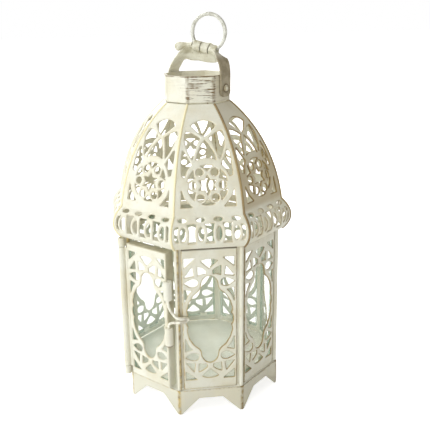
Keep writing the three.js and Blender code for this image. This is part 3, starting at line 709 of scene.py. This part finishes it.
def paint(name, kind="plain", low=CREAM):
    """Satin cream paint, brushed thin: warm and grey clouds, fine speckle, and a golden brown where the
    edges have been rubbed through, most of all on the right, where painted shade also turns the rubs a
    darker brown. Kinds: fret and gore are rubbed along their openings and seams, with painted shade along
    the openings of the right face; the gore and neck are darkened by painted shade on their right face;
    corner and neck are rubbed along the octagon's corners, and the neck is scraped level too; post on one
    side of its nose, as gold and painted shade; bead goes from pale to brown, its pale part made lighter
    to lift its shade; inside is a floor painted whiter, as painted light; knuckle is darker at its foot;
    flange is painted in shade, lighter below the latch."""
    f = Finish(bpy.data.materials.new(name))
    x, y, z = f.millimetres()
    clouds = f.step(f.noise(17.0), 0.35, 0.7)
    # The inside floor's paler clouds are painted light
    colour = f.mix(clouds, low, srgb(244, 241, 226) if kind == "inside" else CREAM_WARM)
    speckle = f.step(f.noise(1.4, detail=4.0, roughness=0.7), 0.45, 0.75, 0.0, 0.35)
    colour = f.mix(speckle, colour, CREAM_GREY)
    wear = f.step(f.noise(3.2), 0.38, 0.6)
    first, last, least = HANDLED.get(kind, HANDLED_ELSEWHERE)
    handled = f.step(x, first, last, least, 1.0)
    # Painted shade: the side away from the key lamp is darkened in the colour; on the gore and neck only
    # the front-right face, between its ridges
    if kind in ("gore", "neck"):
        painted_shade = f.step(x + y * TAN, *AT_RIDGE) * f.step(x * TAN - y, *AT_RIDGE)
    else:
        painted_shade = f.step((x - y) * 0.707, 26.0, 40.0)
    rubbed = f.step(f.noise(2.1, detail=5.0, roughness=0.75), 0.62, 0.72) * 0.35
    if kind in ("neck", "knuckle"):
        gold = SCRATCH_AND_SHADE_BROWN
    else:
        darker = RUB_OCHRE if kind == "fret" else RUB_BROWN
        gold = f.mix(f.step(f.noise(2.6), 0.4, 0.65), RUB_GOLD, darker)

    if kind in ("fret", "gore"):
        near = f.step(f.attribute("edge"), 0.55, 0.05)
    if kind == "gore":
        above_eave = f.step(z, WALL_TOP + 19.0, WALL_TOP + 23.0)
        low_dome = above_eave - f.step(z, WALL_TOP + 40.0, WALL_TOP + 56.0, 0.0, 0.6)
        # Painted shade on the lower right gore above the eave, weaker higher up
        colour = f.mix(painted_shade * low_dome * 0.85, colour, srgb(193, 179, 146))
        near = near * (above_eave * 0.5 + 0.5)
        broad = f.step(f.attribute("edge"), 0.9, 0.1)
        low_front = f.step(x - y * TAN, *AT_RIDGE) * f.step(z, WALL_TOP + 54.0, WALL_TOP + 40.0)
        seam = f.step(f.attribute("side"), 1.0, 0.2)
        # Painted shade along the right gore's openings, and a gold rub along the low front openings
        rubbed = rubbed + broad * painted_shade * low_dome * 0.45 + near * low_front * 0.3
        rubbed = rubbed + seam * handled * (wear * 0.6 + 0.1)
    if kind == "fret":
        window = f.step(f.attribute("rim"), 1.2, 0.35)
        outer = f.step(f.attribute("side"), 0.9, 0.1)
        lower = f.step(z, PANEL_MIDDLE - 20.0, PANEL_MIDDLE - 34.0)
        rubbed = rubbed + handled * (window * (wear * 0.35 + 0.4) + outer * (wear * 0.5 + 0.1)
                                     + near * lower * 0.25)
    if kind in ("fret", "gore"):
        # The second term is painted shade: brown along the openings on the right
        rubbed = rubbed + near * (handled * (wear * 0.35 + 0.22) + painted_shade * 0.5)

    if kind in ("corner", "neck"):
        along, flat = octagon_spot(f, x, y)
        by_corner = f.step(along, 1.7, 0.3) * (wear * 0.6 + 0.4)
    if kind == "corner":
        brim = f.step(z, SKIRT_HEIGHT - 0.9, SKIRT_HEIGHT - 0.2)
        rubbed = rubbed + by_corner * 0.95 + brim * wear * 0.45
    if kind == "neck":
        # Painted shade on the neck's right face
        colour = f.mix(painted_shade * 0.4, colour, srgb(196, 182, 150))
        outside = f.step(flat, NECK_RADIUS * COS - 0.6, NECK_RADIUS * COS - 0.3)
        brim = f.step(z, NECK_TOP - 1.1, NECK_TOP - 0.4)
        lines = f.step(f.noise(0.75, roughness=0.65, stretch=(0.07, 0.07, 1.0)), 0.47, 0.6)
        patch = f.step(f.noise(6.0, detail=2.0) + x * 0.01 + (z - 196.0) * 0.014, 0.25, 0.55)
        front = f.step(y, -17.0, -18.6) * 0.9 + 0.12
        rubbed = rubbed + outside * (by_corner * handled * 0.6 + brim * (wear * 0.5 + 0.25))
        rubbed = rubbed + lines * patch * front
    # The rub on the right side of the nose is partly gold wear, partly painted shade
    if kind == "post":
        rubbed = rubbed + f.step(f.attribute("turn"), 0.1, 0.7) * (wear * 0.4 + 0.5)
    # Darker brown at the foot of the lower knuckle
    if kind == "knuckle":
        rubbed = rubbed + f.step(LATCH_HEIGHT - z, 20.0, 20.8)
    # Painted shade on the door's flanges, lifted to the plain cream below the latch
    if kind == "flange":
        colour = f.mix(f.step(LATCH_HEIGHT - z, 21.0, 27.0) * 0.8, colour, CREAM)
    # Pale yellow on the left, lighter than the cream paint: partly gold, partly painted light that lifts
    # the bead's shade; brown on the right
    if kind == "bead":
        colour = f.mix(handled, srgb(250, 240, 198), f.mix(clouds, low, srgb(166, 144, 98)))

    rubbed = rubbed.least(1.0)
    # The rubs turn darker brown on the right: painted shade
    colour = f.mix(rubbed, colour, f.mix(painted_shade * 0.6, gold, SCRATCH_AND_SHADE_BROWN))
    # Painted shadow: a dark line along the panel's top, under the eave
    if kind == "fret":
        painted_eave_shadow = f.step(z, WALL_TOP - 2.0, WALL_TOP - 0.9)
        colour = f.mix(painted_eave_shadow * 0.9, colour, EAVE_SHADOW_PAINT)
    roughness = f.step(f.noise(5.0), 0.3, 0.7, 0.42, 0.6) - rubbed * 0.08
    height = f.noise(0.9) * 0.5 + f.noise(5.5) * 0.5 - rubbed * 0.4
    return f.surface(Base_Color=colour, Roughness=roughness, Normal=f.bump(height, 0.35, 0.25),
                     Specular_IOR_Level=0.45, Coat_Weight=0.12, Coat_Roughness=0.3)


def worn_strap():
    """Strap paint: cream along the crown, duller on the rolled edge, darkened to an olive brown by
    painted shade on the front leg, with chips and a ring of painted shade round each rivet."""
    f = Finish(bpy.data.materials.new("worn_strap"))
    x, y, z = f.millimetres()
    leg = f.step((x - y) * 0.707 - (z - 205.0) * 0.6, 5.0, 14.0)
    clouds = f.step(f.noise(4.5, detail=4.0), 0.35, 0.65)
    colour = f.mix(clouds * 0.5, srgb(240, 238, 222), srgb(224, 219, 196))
    rolled_edge = f.step(z, NECK_TOP + 10.5, NECK_TOP + 12.5)
    colour = f.mix(rolled_edge, colour, f.mix(clouds, srgb(222, 219, 200), srgb(186, 180, 152)))
    # Painted shade: the front leg darkened to an olive brown
    colour = f.mix(leg * 0.9, colour, f.mix(clouds, srgb(166, 152, 122), srgb(132, 117, 86)))
    chips = f.step(f.noise(1.6, detail=5.0, roughness=0.7), 0.6, 0.68) * 0.55
    colour = f.mix(chips, colour, srgb(112, 94, 60))
    # A ring of painted shade round each rivet head on the strap
    for _, face, side in RIVETS:
        rivet = turned([side * STRAP_ASIDE, -STRAP_FLAT, RIVET_HEIGHT], face) * 0.001
        away = f.span("DISTANCE", f.where(), tuple(rivet)) * 1000.0
        colour = f.mix(f.step(away, 3.3, 2.3) * 0.75, colour, srgb(96, 80, 52))
    roughness = f.step(f.noise(3.0), 0.3, 0.7, 0.35, 0.55)
    bump = f.bump(f.noise(0.8) - chips, 0.45, 0.2)
    return f.surface(Base_Color=colour, Roughness=roughness, Metallic=0.05, Normal=bump,
                     Specular_IOR_Level=0.5)


def tinned_wire(name, base, dark, metal):
    """Thinly painted wire with bare, greyer stretches."""
    f = Finish(bpy.data.materials.new(name))
    bare = f.step(f.noise(3.0, detail=4.0), 0.42, 0.62)
    colour = f.mix(bare, base, dark)
    roughness = f.step(f.noise(1.2), 0.3, 0.7, 0.25, 0.42)
    return f.surface(Base_Color=colour, Roughness=roughness, Metallic=metal,
                     Normal=f.bump(f.noise(0.6), 0.3, 0.1))


def glass():
    """Green-tinted window glass: light goes straight through, edges are deeper green, and the
    faces carry a faint haze and reflect what is around them."""
    f = Finish(bpy.data.materials.new("green_glass"))
    haze = f.step(f.noise(14.0), 0.35, 0.7, 0.11, 0.15)
    edge = f.step(f.attribute("edge"), 1.2, 0.0)
    alpha = (haze + edge * 0.4).least(0.7)
    colour = f.mix(edge, srgb(228, 243, 226), srgb(186, 216, 192))
    roughness = f.step(f.noise(6.0), 0.3, 0.7, 0.03, 0.08)
    return f.surface(Base_Color=colour, Roughness=roughness, Alpha=alpha, Specular_IOR_Level=0.9)


cream_fret = paint("cream_fretwork", "fret")
cream_gore = paint("cream_dome", "gore")
cream_corner = paint("cream_skirt", "corner", low=srgb(218, 215, 197))
cream_post = paint("cream_post", "post")
cream_plain = paint("cream_plain")
# The flanges' darker olive cream is painted shade on the door's side returns
cream_shaded = paint("cream_flange_painted_shade", "flange", low=srgb(186, 179, 150))
cream_knuckle = paint("cream_knuckle", "knuckle")
cream_neck = paint("cream_neck", "neck")
# The floor plate is painted whiter than the rest: painted light inside the lantern
painted_light_floor = paint("cream_floor_painted_light", "inside", low=srgb(250, 249, 238))
gold_bead = paint("rubbed_bead", "bead", low=srgb(136, 115, 76))
strap_finish = worn_strap()
ring_finish = tinned_wire("ring_paint", srgb(216, 215, 204), srgb(184, 182, 168), 0.1)
latch_finish = tinned_wire("latch_paint", srgb(243, 240, 224), srgb(206, 200, 182), 0.1)
rivet_finish = tinned_wire("rivet_paint", srgb(230, 226, 206), srgb(176, 162, 128), 0.15)
dark_pin = tinned_wire("pin_steel", srgb(120, 110, 88), srgb(80, 70, 52), 0.6)
green_glass = glass()
# CAD solids whose shape is right keep it, copied with softened edges

def softened(node, width, finish):
    """A copy of a CAD solid: its triangles merged into flat faces and its edges rounded."""
    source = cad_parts[node]
    mesh = bpy.data.meshes.new("soft_" + node)
    shape = bmesh.new()
    shape.from_mesh(source.data)
    shape.transform(source.matrix_world)
    bmesh.ops.remove_doubles(shape, verts=shape.verts, dist=2e-6)
    bmesh.ops.dissolve_limit(shape, angle_limit=math.radians(1.0), verts=shape.verts, edges=shape.edges)
    shape.to_mesh(mesh)
    shape.free()
    mesh.polygons.foreach_set("use_smooth", np.ones(len(mesh.polygons), dtype=bool))
    mesh.set_sharp_from_angle(angle=math.radians(50))
    piece = bpy.data.objects.new(mesh.name, mesh)
    bevel = piece.modifiers.new("edges", "BEVEL")
    bevel.width, bevel.segments, bevel.limit_method = width * 0.001, 2, "ANGLE"
    bevel.angle_limit = math.radians(25)
    placed(piece, "lantern", [node], finish)


softened("base_skirt", 0.3, cream_corner)
softened("floor_plate", 0.25, painted_light_floor)
softened("roof_seat", 0.2, cream_plain)
softened("neck_collar", 0.2, cream_neck)


# Fixed panels, their glass and the posts

panel = pierced_plate(PANEL_HALF, PANEL_HALF_HEIGHT, FIELD_HALF_WIDTH, FIELD_HALF_HEIGHT, WALL_FLAT, 0.0,
                      PANEL_MIDDLE)
# Marks for a piece that no rub falls on, and the half width and lip of the folds that hold the glass
NO_RUB = {"edge": 9.0, "rim": 9.0, "side": 9.0}
TAB_HALF, TAB_LIP = 2.5, 2.6
GLASS_HALF_HEIGHT = FIELD_HALF_HEIGHT + GLASS_LAP


def glass_tabs():
    """The folded tabs that hold a pane behind a panel: each has a foot off the sheet and a lip over the
    pane's edge."""
    back = WALL_FLAT - SHEET
    lip = back - GAP - GLASS - GAP
    shells = []
    for x in (-FIELD_HALF_WIDTH / 2, FIELD_HALF_WIDTH / 2):
        for end in (-1, 1):
            edge = PANEL_MIDDLE + end * (GLASS_HALF_HEIGHT + GAP)
            for start, depth in ((edge, back + 0.2), (edge - end * TAB_LIP, lip)):
                low, high = sorted((start, edge + end * SHEET))
                tab = block((x - TAB_HALF, -depth, low), (x + TAB_HALF, -(lip - SHEET), high), 0.15)
                shells.append(marked(tab, **NO_RUB))
    return shells


tabs = glass_tabs()
catch_middle = LATCH_HEIGHT + LATCH_NOSE
catch = marked(block((-PANEL_HALF, -(WALL_FLAT + 1.4), catch_middle - 0.9),
                     (1.1 - PANEL_HALF, -(WALL_FLAT - 0.4), catch_middle + 0.9), 0.2), **NO_RUB)


def pane(half_width, half_height, back, middle_x, middle_z):
    """A pane of glass with ground edges, marked with the distance from its rim."""
    u, v = grid(-half_width, half_width, -half_height, half_height, PANE_STEP)
    border = inset(u, v, half_width, half_height)
    return sheet_of(border, u, v, upright_face(back + GLASS, middle_x, middle_z), GLASS, soften=0.2)


# The posts' nose is slimmer than in the solids, as in the photograph
POST_NOSE = 1.35


def post(legs):
    """Corner post: a round nose, marked with how far it turns to the right, and the legs behind the
    panels beside it."""
    nose = upright(NOSE_X, NOSE_FLAT, POST_NOSE, WALL_BOTTOM, WALL_TOP, around=28)
    spin = (nose[0][:, :2] - (NOSE_X, -NOSE_FLAT)) / POST_NOSE
    shells = [(*nose, {"turn": spin @ (COS, SIN)})]
    outer = WALL_FLAT - SHEET - GAP
    inner = outer - 1.2
    for side in legs:
        leg = block((LEG_END, -outer, WALL_BOTTOM + 0.5),
                    (inner * TAN + 0.25, -inner, WALL_TOP - 0.5), 0.15)
        if side > 0:
            points = leg[0] * (-1, 1, 1)
            leg = (turned(points, 1), [f[:, ::-1] for f in leg[1]])
        shells.append(marked(leg, turn=0.0))
    return shells


for face, name in enumerate(FACES):
    node = {DOOR_FACE: "latch_post", DOOR_FACE - 1: "hinge_post"}.get(face, "corner_post_" + name)
    legs = {DOOR_FACE: (1,), DOOR_FACE - 1: (-1,)}.get(face, (-1, 1))
    shells = post(legs)
    if face == DOOR_FACE - 1:
        for bottom, top in ((WALL_BOTTOM, WALL_BOTTOM + HINGE_END), (WALL_TOP - HINGE_END, WALL_TOP)):
            knuckle = upright(HINGE_X, HINGE_FLAT, BARREL_RADIUS, bottom, top, bevel=0.3, bore=HINGE_BORE)
            arm = block((HINGE_X + 0.9, -HINGE_FLAT + 0.3, bottom + 0.2),
                        (-NOSE_X + 0.4, -NOSE_FLAT, top - 0.2), 0.2)
            shells += [marked((turned(q[0], 1), q[1]), turn=0.0) for q in (knuckle, arm)]
    build("post_" + name, shells, face, replaces=[node], finish=cream_post)
    if face != DOOR_FACE:
        build("fret_panel_" + name, [panel] + tabs + ([catch] if face == 0 else []), face,
              replaces=["panel_" + name], finish=cream_fret)
        glazing = pane(LEG_END - GAP, GLASS_HALF_HEIGHT, WALL_FLAT - SHEET - GAP - GLASS, 0, PANEL_MIDDLE)
        build("pane_" + name, [glazing], face, replaces=["glass_" + name],
              finish=green_glass)


# Door: pierced front, pan, hinge barrel, latch knuckles and clips

DOOR_MIDDLE_X, DOOR_MIDDLE_Z = (DOOR_LEFT + DOOR_RIGHT) / 2, (DOOR_BOTTOM + DOOR_TOP) / 2
DOOR_HALF_WIDTH, DOOR_HALF_HEIGHT = (DOOR_RIGHT - DOOR_LEFT) / 2, (DOOR_TOP - DOOR_BOTTOM) / 2
DOOR_FIELD_HALF_HEIGHT = DOOR_HALF_HEIGHT - DOOR_RAIL
DOOR_BACK = DOOR_FLAT - SHEET
door_shells = [pierced_plate(DOOR_HALF_WIDTH, DOOR_HALF_HEIGHT, DOOR_HALF_WIDTH - SIDE_RAIL,
                             DOOR_FIELD_HALF_HEIGHT, DOOR_FLAT, DOOR_MIDDLE_X, DOOR_MIDDLE_Z)]
clip = DOOR_BACK - GAP - GLASS - GAP
for left, right in ((DOOR_LEFT + 0.4, DOOR_LEFT + 2.4), (DOOR_RIGHT - 2.4, DOOR_RIGHT - 0.4)):
    for end in (-1, 1):
        z = DOOR_MIDDLE_Z + end * DOOR_HALF_HEIGHT / 2
        holder = block((left, -clip, z - TAB_HALF), (right, -(clip - SHEET), z + TAB_HALF), 0.15)
        door_shells.append(marked(holder, **NO_RUB))
build("door_pan", door_shells, DOOR_FACE, body="door", replaces=["door_panel"], finish=cream_fret)
build("door_flanges", [
    block((left, 0.25 - DOOR_FLAT, low), (right, DOOR_FLANGE - DOOR_FLAT, high), 0.2)
    for left, right, low, high in (
        (DOOR_LEFT, DOOR_LEFT + SHEET, DOOR_BOTTOM, DOOR_TOP),
        (DOOR_RIGHT - SHEET, DOOR_RIGHT, DOOR_BOTTOM, DOOR_TOP),
        (DOOR_LEFT + 0.4, DOOR_RIGHT - 0.4, DOOR_BOTTOM, DOOR_BOTTOM + SHEET),
        (DOOR_LEFT + 0.4, DOOR_RIGHT - 0.4, DOOR_TOP - SHEET, DOOR_TOP))],
      DOOR_FACE, body="door", finish=cream_shaded)
barrel_bottom, barrel_top = WALL_BOTTOM + HINGE_END + GAP, WALL_TOP - HINGE_END - GAP
barrel = upright(HINGE_X, HINGE_FLAT, BARREL_RADIUS, barrel_bottom, barrel_top, around=24,
                 bore=HINGE_BORE)
leaf = block((HINGE_X + 1.5, -DOOR_FLAT, barrel_bottom + 0.1),
             (DOOR_LEFT + 0.3, -DOOR_BACK, barrel_top - 0.1), 0.2)
build("hinge_barrel", [barrel, leaf], DOOR_FACE, body="door", finish=cream_plain)
knuckles = []
for side in (-1, 1):
    middle = LATCH_HEIGHT + side * (KNUCKLE_SPACE + KNUCKLE_LENGTH) / 2
    knuckles.append(upright(LATCH_X, LATCH_FLAT, KNUCKLE_RADIUS, middle - KNUCKLE_LENGTH / 2,
                            middle + KNUCKLE_LENGTH / 2, around=24, bore=KNUCKLE_BORE))
build("latch_knuckles", knuckles, DOOR_FACE, body="door", finish=cream_knuckle)
door_glazing = pane(DOOR_HALF_WIDTH - SHEET - GAP, DOOR_FIELD_HALF_HEIGHT + GLASS_LAP,
                    DOOR_BACK - GAP - GLASS, DOOR_MIDDLE_X, DOOR_MIDDLE_Z)
build("pane_door", [door_glazing], DOOR_FACE, body="door", replaces=["door_glass"],
      finish=green_glass)
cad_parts["hinge_pin"].data.materials.clear()
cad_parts["hinge_pin"].data.materials.append(dark_pin)
# Latch wire: hooked into both knuckles, bent over the post to a narrow nose on the front panel

latch_at = turned([LATCH_X, -LATCH_FLAT, 0], DOOR_FACE)[:2]
nose_at = np.array([2.4 - PANEL_HALF, -(WALL_FLAT + GAP + LATCH_WIRE + SHEET)])
reach = nose_at - latch_at
outward = unit(np.array([reach[1], -reach[0]]))


def latch_spot(share, height):
    """A point of the latch's centre line: a share of the way from the knuckles to the nose, bowed
    outwards by half a sine wave, and a height about the latch's middle."""
    plan = latch_at + reach * share + outward * LATCH_BOW * math.sin(math.pi * share)
    return (plan[0], plan[1], LATCH_HEIGHT + height)


above = [(0, 18.7), (0, 9.1), (0, 6.6), (0.05, 4.2), (0.2, 1.6), (0.42, -0.8),
         (0.62, LATCH_NOSE + LATCH_NOSE_HALF + 0.5)]
tip = [(0.8, LATCH_NOSE + LATCH_NOSE_HALF), (0.97, LATCH_NOSE + 0.8), (1.05, LATCH_NOSE),
       (0.97, LATCH_NOSE - 0.8), (0.8, LATCH_NOSE - LATCH_NOSE_HALF)]
below = [(0.62, LATCH_NOSE - LATCH_NOSE_HALF - 0.1), (0.42, -4.7), (0.2, -5.3), (0.05, -6.6), (0, -8.2),
         (0, -9.6), (0, -18.7)]
latch_path = spline([latch_spot(*q) for q in above + tip + below])
share = np.linspace(0, 1, len(latch_path))
latch_radius = LATCH_WIRE + LATCH_SWELL * (smoothstep(share, 0.22, 0.34) - smoothstep(share, 0.66, 0.78))
build("latch_wire", [pipe(latch_path, latch_radius, up=(*outward, 0.0))], body="latch",
      replaces=["latch_loop"], finish=latch_finish)


# Dome and eave, with a bead of paint in each seam between two faces

gore = gore_sheet()
for face, name in enumerate(FACES):
    build("fret_gore_" + name, [gore], face, replaces=["dome_gore_" + name], finish=cream_gore)

BEAD_RADIUS, BEAD_SUNK = 0.72, 0.4
seam_radius, seam_height = PROFILE[::3, 0] - BEAD_SUNK, PROFILE[::3, 1]
bead = pipe(np.column_stack([seam_radius * SIN, -seam_radius * COS, seam_height]), BEAD_RADIUS,
            around=12, up=(COS, SIN, 0.0))
for face, name in enumerate(FACES):
    build("ridge_bead_" + name, [bead], face, finish=gold_bead)


# Strap, its rolled edge and the ring

def strap_path():
    """Centre line of the strap in its own frame, from the back foot to the front foot: a share of the
    way across and of the crown's rise at each point, turned a little about the axis at the crown."""
    def spot(share, rise):
        reach = share * STRAP_FLAT
        yaw = 0.3 * (1 - smoothstep(abs(share), 0.45, 0.95))
        return (STRAP_ASIDE + yaw * reach, -reach, NECK_TOP + rise * CROWN_RISE)
    foot = (RIVET_HEIGHT - 5 - NECK_TOP) / CROWN_RISE
    return spline([spot(*q) for q in (
        (-1, foot), (-1, foot / 2), (-1, 0.04), (-0.92, 0.28), (-0.7, 0.6), (-0.42, 0.83), (-0.12, 0.97),
        (0.14, 1), (0.38, 1.03), (0.62, 1.0), (0.83, 0.82), (0.96, 0.5), (1, 0.08), (1, foot / 2),
        (1, foot))], 8)


def strap_band():
    """The strap: a flat section with soft edges, carried along its path, turned and widened at the crown
    and rounded at both ends."""
    path = strap_path()
    along = unit(np.gradient(path, axis=0))
    reach = -path[:, 1] / STRAP_FLAT
    crown = smoothstep(reach, -0.75, -0.05) * (1 - smoothstep(reach, 0.42, 0.93))
    across = unit(np.array([1.0, 0, 0]) - along * along[:, :1])
    normal = np.cross(along, across)
    twist = CROWN_TWIST * crown[:, None]
    across, normal = (across * np.cos(twist) + normal * np.sin(twist),
                      normal * np.cos(twist) - across * np.sin(twist))
    length = run_length(path)
    from_end = np.minimum(length, length[-1] - length)
    end_length, near_wider, far_wider = 3.2, 1.3, 2.4
    round_end = np.sqrt(1 - np.clip(1 - from_end / end_length, 0, 1)**2) * 0.55 + 0.45
    near = STRAP_WIDTH / 2 * round_end + near_wider * crown
    far = STRAP_WIDTH / 2 * round_end + far_wider * smoothstep(reach, -0.2, 0.4) * crown
    half = np.array([(-1, -0.5), (-0.93, -1), (-0.5, -1), (0, -1), (0.5, -1), (0.93, -1), (1, -0.5)])
    section = np.concatenate([half, -half])
    width = np.where(section[None, :, 0] < 0, near[:, None], far[:, None]) * section[None, :, 0]
    rings = (path[:, None] + width[..., None] * across[:, None]
             + section[None, :, 1, None] * STRAP_THICK / 2 * normal[:, None])
    return tube(rings[:, ::-1])


RING_AXIS_AT = np.array([0.8, -6.6, NECK_TOP + 14.8])
RING_ALONG = unit(np.array([0.25, -1, -0.24]))
RING_UP = unit(np.array([0, 0, 1]) - RING_ALONG * RING_ALONG[2])
RING_OUT = np.cross(RING_ALONG, RING_UP)


def on_ring_axis(distance):
    """A point on the ring's axis."""
    return RING_AXIS_AT + RING_ALONG * distance


def rolled(middle):
    """A short rolled knuckle on the ring's axis: a tube with rounded lips."""
    end, rim = ROLL_LENGTH / 2, ROLL_BORE + ROLL_WALL
    half = [(rim, end - 0.2), (ROLL_BORE + ROLL_WALL * 0.5, end + 0.15), (ROLL_BORE, end)]
    profile = [(r, -z) for r, z in reversed(half)] + half
    return lathe(profile, 28, on_ring_axis(middle), RING_ALONG, RING_UP, RING_OUT, closed=True)


def oriented(shell):
    """A shell with its faces turned to point outwards, judged by its signed volume."""
    points, faces = shell
    volume = 0.0
    for f in faces:
        a = points[f[:, 0]]
        for k in range(1, f.shape[1] - 1):
            volume += (a * np.cross(points[f[:, k]], points[f[:, k + 1]])).sum()
    return shell if volume > 0 else (points, [f[:, ::-1] for f in faces])


def tongue():
    """The strap's end, rolled to a rod along the ring's axis: a pinched middle, and a thicker end rounded
    by a quarter circle."""
    root, tip, drop = on_ring_axis(-8.6), on_ring_axis(-20.4), 1.6
    tip[2] = root[2] - drop
    share = np.linspace(0, 1, 30)
    path = root + (tip - root) * share[:, None] + np.array([0, 0, 0.5]) * np.sin(math.pi * share)[:, None]
    pinch = 0.35 * np.sin(math.pi * np.clip(share / 0.5, 0, 1))
    radius = 1.75 - pinch + 0.85 * smoothstep(share, 0.4, 0.8)
    radius *= np.sqrt(1 - np.clip((share - 0.82) / 0.185, 0, 1)**2)
    return pipe(path, radius, around=20)


strap_shells = [strap_band()] + [rolled(k * ROLL_PITCH) for k in (-1, 0, 1)] + [tongue()]
build("strap_and_rolls", [oriented(s) for s in strap_shells], STRAP_FACE, replaces=["handle_strap"],
      finish=strap_finish)

# The ring rests on both ends of the solids' rolled edge, so its sag there sets its height
ROLLED_EDGE_HALF = 6.65
sag = RING_RADIUS - math.sqrt(RING_RADIUS**2 - ROLLED_EDGE_HALF**2)
ring_centre = RING_AXIS_AT + RING_UP * (RING_RADIUS - sag / 2)
angle = round_angles(96)
spin = np.cos(angle)[:, None] * RING_ALONG + np.sin(angle)[:, None] * RING_UP
ring = oriented(pipe(ring_centre + RING_RADIUS * spin, RING_WIRE, up=RING_OUT, closed=True))
build("ring_wire", [ring], STRAP_FACE, body="ring", replaces=["hanging_ring"],
      finish=ring_finish)


def rivet_shell(side):
    """Rivet: a domed head outside the strap, the shank and a flat head inside the neck."""
    outer = STRAP_FLAT + STRAP_THICK / 2 + 0.05
    inner = NECK_RADIUS * COS - 1.0 - GAP
    lift = np.linspace(0, math.pi / 2, 6)
    shank, foot, foot_thick, head, head_rise = 0.8, 1.8, 0.8, 1.9, 1.2
    profile = [(0.02, inner - foot_thick), (foot, inner - foot_thick), (foot, inner), (shank, inner),
               (shank, outer), (head, outer)]
    profile += [(head * math.cos(a), outer + head_rise * math.sin(a)) for a in lift[1:-1]]
    profile.append((0.02, outer + head_rise))
    centre = (side * STRAP_ASIDE, 0, RIVET_HEIGHT)
    return oriented(lathe(profile, 24, centre, (0, -1, 0), (1, 0, 0), (0, 0, 1)))
for name, face, side in RIVETS:
    build("head_" + name, [rivet_shell(side)], face, replaces=[name],
          finish=rivet_finish)


# Studio: a pale floor, soft lamps all round with the key on the left, and a white room

def stage_floor():
    """A wide floor that takes the lantern's shadow and is nearly white to the camera."""
    f = Finish(bpy.data.materials.new("pale_floor"))
    seen = f.node("ShaderNodeLightPath", out="Is Camera Ray")
    base = f.node("ShaderNodeBsdfDiffuse", {}, {"Color": (0.86, 0.86, 0.86, 1.0)})
    lit = f.node("ShaderNodeEmission", {}, {"Color": (1, 1, 1, 1), "Strength": 0.7})
    both = f.node("ShaderNodeAddShader", {}, {0: base, 1: lit})
    f.finish(f.node("ShaderNodeMixShader", {}, {0: seen, 1: base, 2: both}))
    bpy.ops.mesh.primitive_plane_add(size=12.0, location=(0, 0, -0.0002))
    floor = bpy.context.object
    floor.name = "floor"
    floor.data.materials.append(f.owner)


stage_floor()


def lamp(name, at, size, power, colour):
    """A square soft light that looks at the middle of the lantern."""
    data = bpy.data.lights.new(name, "AREA")
    data.shape, data.size, data.energy, data.color = "SQUARE", size, power, colour
    thing = bpy.data.objects.new(name, data)
    thing.location = at
    thing.rotation_euler = (Vector((0, 0, 0.12)) - Vector(at)).to_track_quat("-Z", "Y").to_euler()
    bpy.context.collection.objects.link(thing)


lamp("key_left", (-1.5, -0.75, 0.7), 1.0, 10.6, (0.93, 0.98, 1.0))
lamp("front", (-0.8, -1.75, 0.55), 1.1, 8.5, (0.97, 0.985, 1.0))
lamp("back", (-0.5, 1.5, 1.15), 0.8, 22.0, (1.0, 1.0, 0.99))
lamp("top", (-0.15, -0.35, 1.7), 1.2, 5.5, (1.0, 1.0, 0.99))
lamp("low_right", (1.7, -0.85, 0.08), 0.8, 6.4, (1.0, 1.0, 0.95))

# The room is brighter towards the back left than towards the front right
BRIGHT_SIDE = (-0.78, 0.6, -0.3)
ROOM_DIM, ROOM_BRIGHT = (0.04, 0.03, 0.01), (1.2, 1.2, 1.2)
room = Finish(bpy.data.worlds.new("white_room"), "ShaderNodeOutputWorld")
direction = room.node("ShaderNodeTexCoord", out="Generated")
towards = room.span("DOT_PRODUCT", direction, Vector(BRIGHT_SIDE).normalized())
spread = room.node("ShaderNodeMapRange", {}, {"Value": towards, "From Min": -1.0})
lit = room.node("ShaderNodeBackground", {}, {0: room.mix(spread, ROOM_DIM, ROOM_BRIGHT)})
white = room.node("ShaderNodeBackground", {}, {0: (1, 1, 1, 1), 1: 1.0})
seen = room.node("ShaderNodeLightPath", out="Is Camera Ray")
bpy.context.scene.world = room.finish(
    room.node("ShaderNodeMixShader", {}, {0: seen, 1: lit, 2: white}))

camera_data = bpy.data.cameras.new("camera")
camera_data.lens = CAMERA_LENS
camera_data.sensor_width = 36.0
camera_data.shift_x = CAMERA_SHIFT
camera = bpy.data.objects.new("camera", camera_data)
place = Vector(CAMERA_AT) * 0.001
camera.location = place
aim = (Vector(CAMERA_LOOKS_AT) * 0.001 - place).to_track_quat("-Z", "Y")
camera.rotation_euler = (aim.to_matrix().to_4x4() @ Matrix.Rotation(
    math.radians(CAMERA_ROLL), 4, "Z")).to_euler()
bpy.context.collection.objects.link(camera)
bpy.context.scene.camera = camera
bpy.context.scene.view_settings.view_transform = "Standard"
